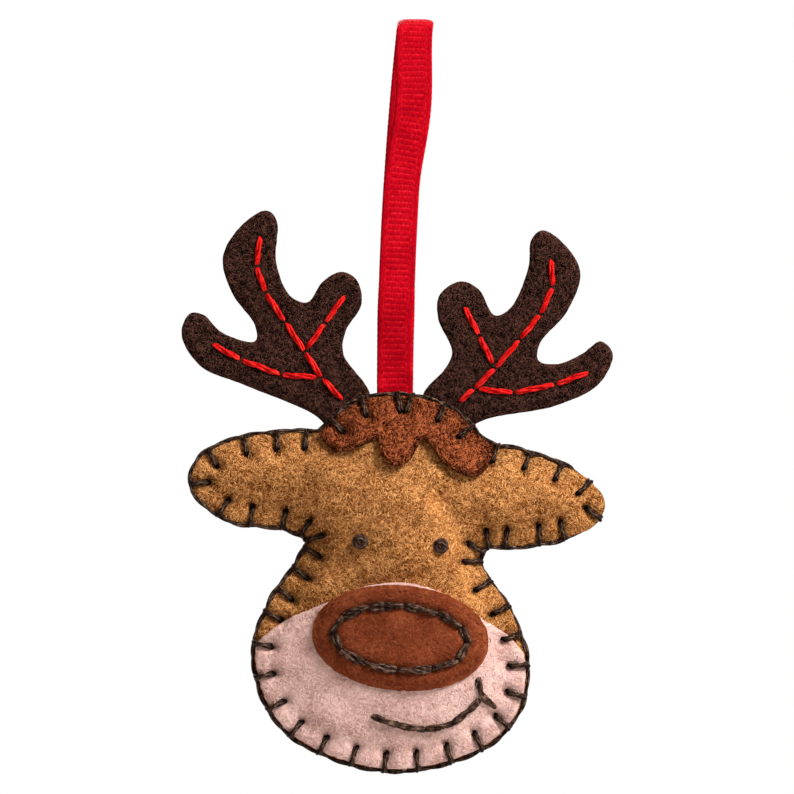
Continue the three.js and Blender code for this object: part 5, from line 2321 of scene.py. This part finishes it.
@dataclass
class Filling:
    """The fibre filling: a lumpy pillow between the felts, clear of their rims."""

    form: HeadForm
    step: float = 0.9
    inset: float = 4.4
    slope: float = 1.5
    fill: float = 0.7

    MARGIN = 2.0
    CLEAR_OF_FELT = 0.5
    RIM = 0.25
    LUMPS = (0.04, 4.0, 71)
    THINNEST = 0.1
    SEED = 72
    HEAD_STEP = 0.5
    KEPT_SHARE = 0.93
    OUTLINE_STEP = 0.6

    def build(self, sheet: Sheet) -> Object:
        """Makes the filling as one closed form, front and back over one outline.

        Args:
            sheet: The pattern sheet's place.

        Returns:
            The filling.
        """
        form = self.form
        depth, nodes = Lattice.around(form.outline, COARSE_STEP, self.MARGIN)
        from_rim = edge_depth(resample(form.outline, COARSE_STEP, True), nodes) - self.inset
        depth.values = np.minimum(from_rim, -FILLING_TOP - nodes[..., 1])

        def thick(points: Array, inner: Height) -> Array:
            """How far the filling reaches from the seam plane: up a slope from its rim, clear of a felt.

            Args:
                points: Places, (..., 2).
                inner: The felt's hidden face.

            Returns:
                The reach there.
            """
            room = inner(points) - self.CLEAR_OF_FELT
            rim = self.RIM + self.slope * np.maximum(depth(points), 0.0)
            return np.maximum(np.minimum(room, rim) * (1 + ripple(points, *self.LUMPS)), self.THINNEST)

        cut = FeltCut(
            "fibre_filling_wad", "fibre_filling", self.outline(), lambda p: thick(p, form.front_inner),
            lambda p: -thick(p, form.back_inner), FillingFinish(), self.step, seed=self.SEED,
        )
        made = cut.build(sheet)
        return made

    def outline(self) -> Array:
        """The filling's outline: the head's outline drawn in, and cut straight below the crown.

        Returns:
            Its points, without those that the draw brings too near another part of the edge.
        """
        head = resample(self.form.outline, self.HEAD_STEP, True)
        drawn = head + self.inset * outward_from(head)
        drawn[:, 1] = np.minimum(drawn[:, 1], -FILLING_TOP)
        clear = edge_depth(head, drawn) > self.KEPT_SHARE * self.inset
        return resample(drawn[clear], self.OUTLINE_STEP, True)


# The studio


class Studio:
    """White surroundings, a soft key light from the upper right, and the camera."""

    FRAME_WIDTH = 132.33
    FRAME_CENTRE = (-3.067, -62.5)
    CAMERA_DISTANCE = 1.6
    CAMERA_REACH = 20.0
    SENSOR = 36.0
    WHITE = (1.0, 1.0, 1.0, 1.0)
    FILL = 0.35
    FILL_COLOUR = (1.0, 0.9, 0.8, 1.0)
    FLOOR_COLOUR = (0.8, 0.8, 0.8, 1.0)
    FLOOR_GLOW = 0.6
    FLOOR_HALF = 0.4
    FLOOR_LEVEL = -0.32
    LIT = Vector((0.0, 0.0, -0.09))
    # Name, place in metres, width of the disk and power in watts
    LAMPS = (
        ("key_lamp", (0.468, -0.39, 0.424), 0.34, 11.4),
        ("low_lamp", (-0.4, -0.7, -0.5), 0.6, 1.4),
        ("back_lamp", (-0.3, 0.8, 0.3), 0.6, 7.0),
    )

    def camera(self) -> None:
        """A long lens, square on to the face, whose frame is FRAME_WIDTH wide at the seam plane."""
        scene = bpy.context.scene
        data = bpy.data.cameras.new("camera")
        data.sensor_width = self.SENSOR
        data.lens = self.SENSOR * self.CAMERA_DISTANCE / (self.FRAME_WIDTH * MM)
        data.clip_end = self.CAMERA_REACH
        made = bpy.data.objects.new("camera", data)
        made.location = (self.FRAME_CENTRE[0] * MM, -self.CAMERA_DISTANCE, self.FRAME_CENTRE[1] * MM)
        made.rotation_euler = (math.radians(90), 0.0, 0.0)
        scene.collection.objects.link(made)
        scene.camera = made

    def lamps(self) -> None:
        """Area lamps that face the head."""
        for name, place, size, power in self.LAMPS:
            data = bpy.data.lights.new(name, "AREA")
            data.shape = "DISK"
            data.size = size
            data.energy = power
            made = bpy.data.objects.new(name, data)
            made.location = place
            made.rotation_euler = (self.LIT - made.location).to_track_quat("-Z", "Y").to_euler()
            bpy.context.scene.collection.objects.link(made)

    def surroundings(self) -> None:
        """White to the camera, and even soft light for the object."""
        world = bpy.data.worlds.new("white")
        bpy.context.scene.world = world
        graph = Graph(world)
        fill = graph.node("ShaderNodeBackground", {}, {"Color": self.FILL_COLOUR, "Strength": self.FILL})
        white = graph.node("ShaderNodeBackground", {}, {"Color": self.WHITE, "Strength": 1.0})
        graph.end(graph.node("ShaderNodeMixShader", {}, {0: graph.looked_at(), 1: fill, 2: white}))

    def floor(self) -> None:
        """A plain white floor well below the hanging ornament."""
        graph = Graph.of_material("white_floor")
        diffuse = graph.node("ShaderNodeBsdfDiffuse", {}, {"Color": self.FLOOR_COLOUR})
        white = graph.node("ShaderNodeEmission", {}, {"Color": self.WHITE, "Strength": 1.0})
        glow = graph.looked_at() * self.FLOOR_GLOW
        graph.end(graph.node("ShaderNodeMixShader", {}, {0: glow, 1: diffuse, 2: white}))
        ways = ((-1, -1), (1, -1), (1, 1), (-1, 1))
        corners = [(x * self.FLOOR_HALF, y * self.FLOOR_HALF, self.FLOOR_LEVEL) for x, y in ways]
        mesh = bpy.data.meshes.new("floor")
        mesh.from_pydata(corners, [], [(0, 1, 2, 3)])
        mesh.materials.append(graph.owner)
        made = bpy.data.objects.new("floor", mesh)
        bpy.context.scene.collection.objects.link(made)

    def build(self) -> None:
        """Sets the camera, the lights and the surroundings."""
        bpy.context.scene.view_settings.view_transform = "Standard"
        self.camera()
        self.surroundings()
        self.floor()
        self.lamps()


def main() -> None:
    """Builds the ornament's pieces in order and reports each."""
    logging.basicConfig(level=logging.INFO, format="%(name)s: %(message)s")
    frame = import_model()
    sheet = Sheet(frame["joints"][0]["pos_m"])
    Studio().build()
    form = HeadForm()
    pieces = [
        *RibbonLoop().build(sheet),
        *ReindeerHead(form).build(sheet),
        *(piece for side in Side for piece in Antler(side).build(sheet)),
        Filling(form).build(sheet),
    ]
    for piece in pieces:
        log.info("%s: %d faces", piece.name, len(piece.data.polygons))


if __name__ == "__main__":
    main()
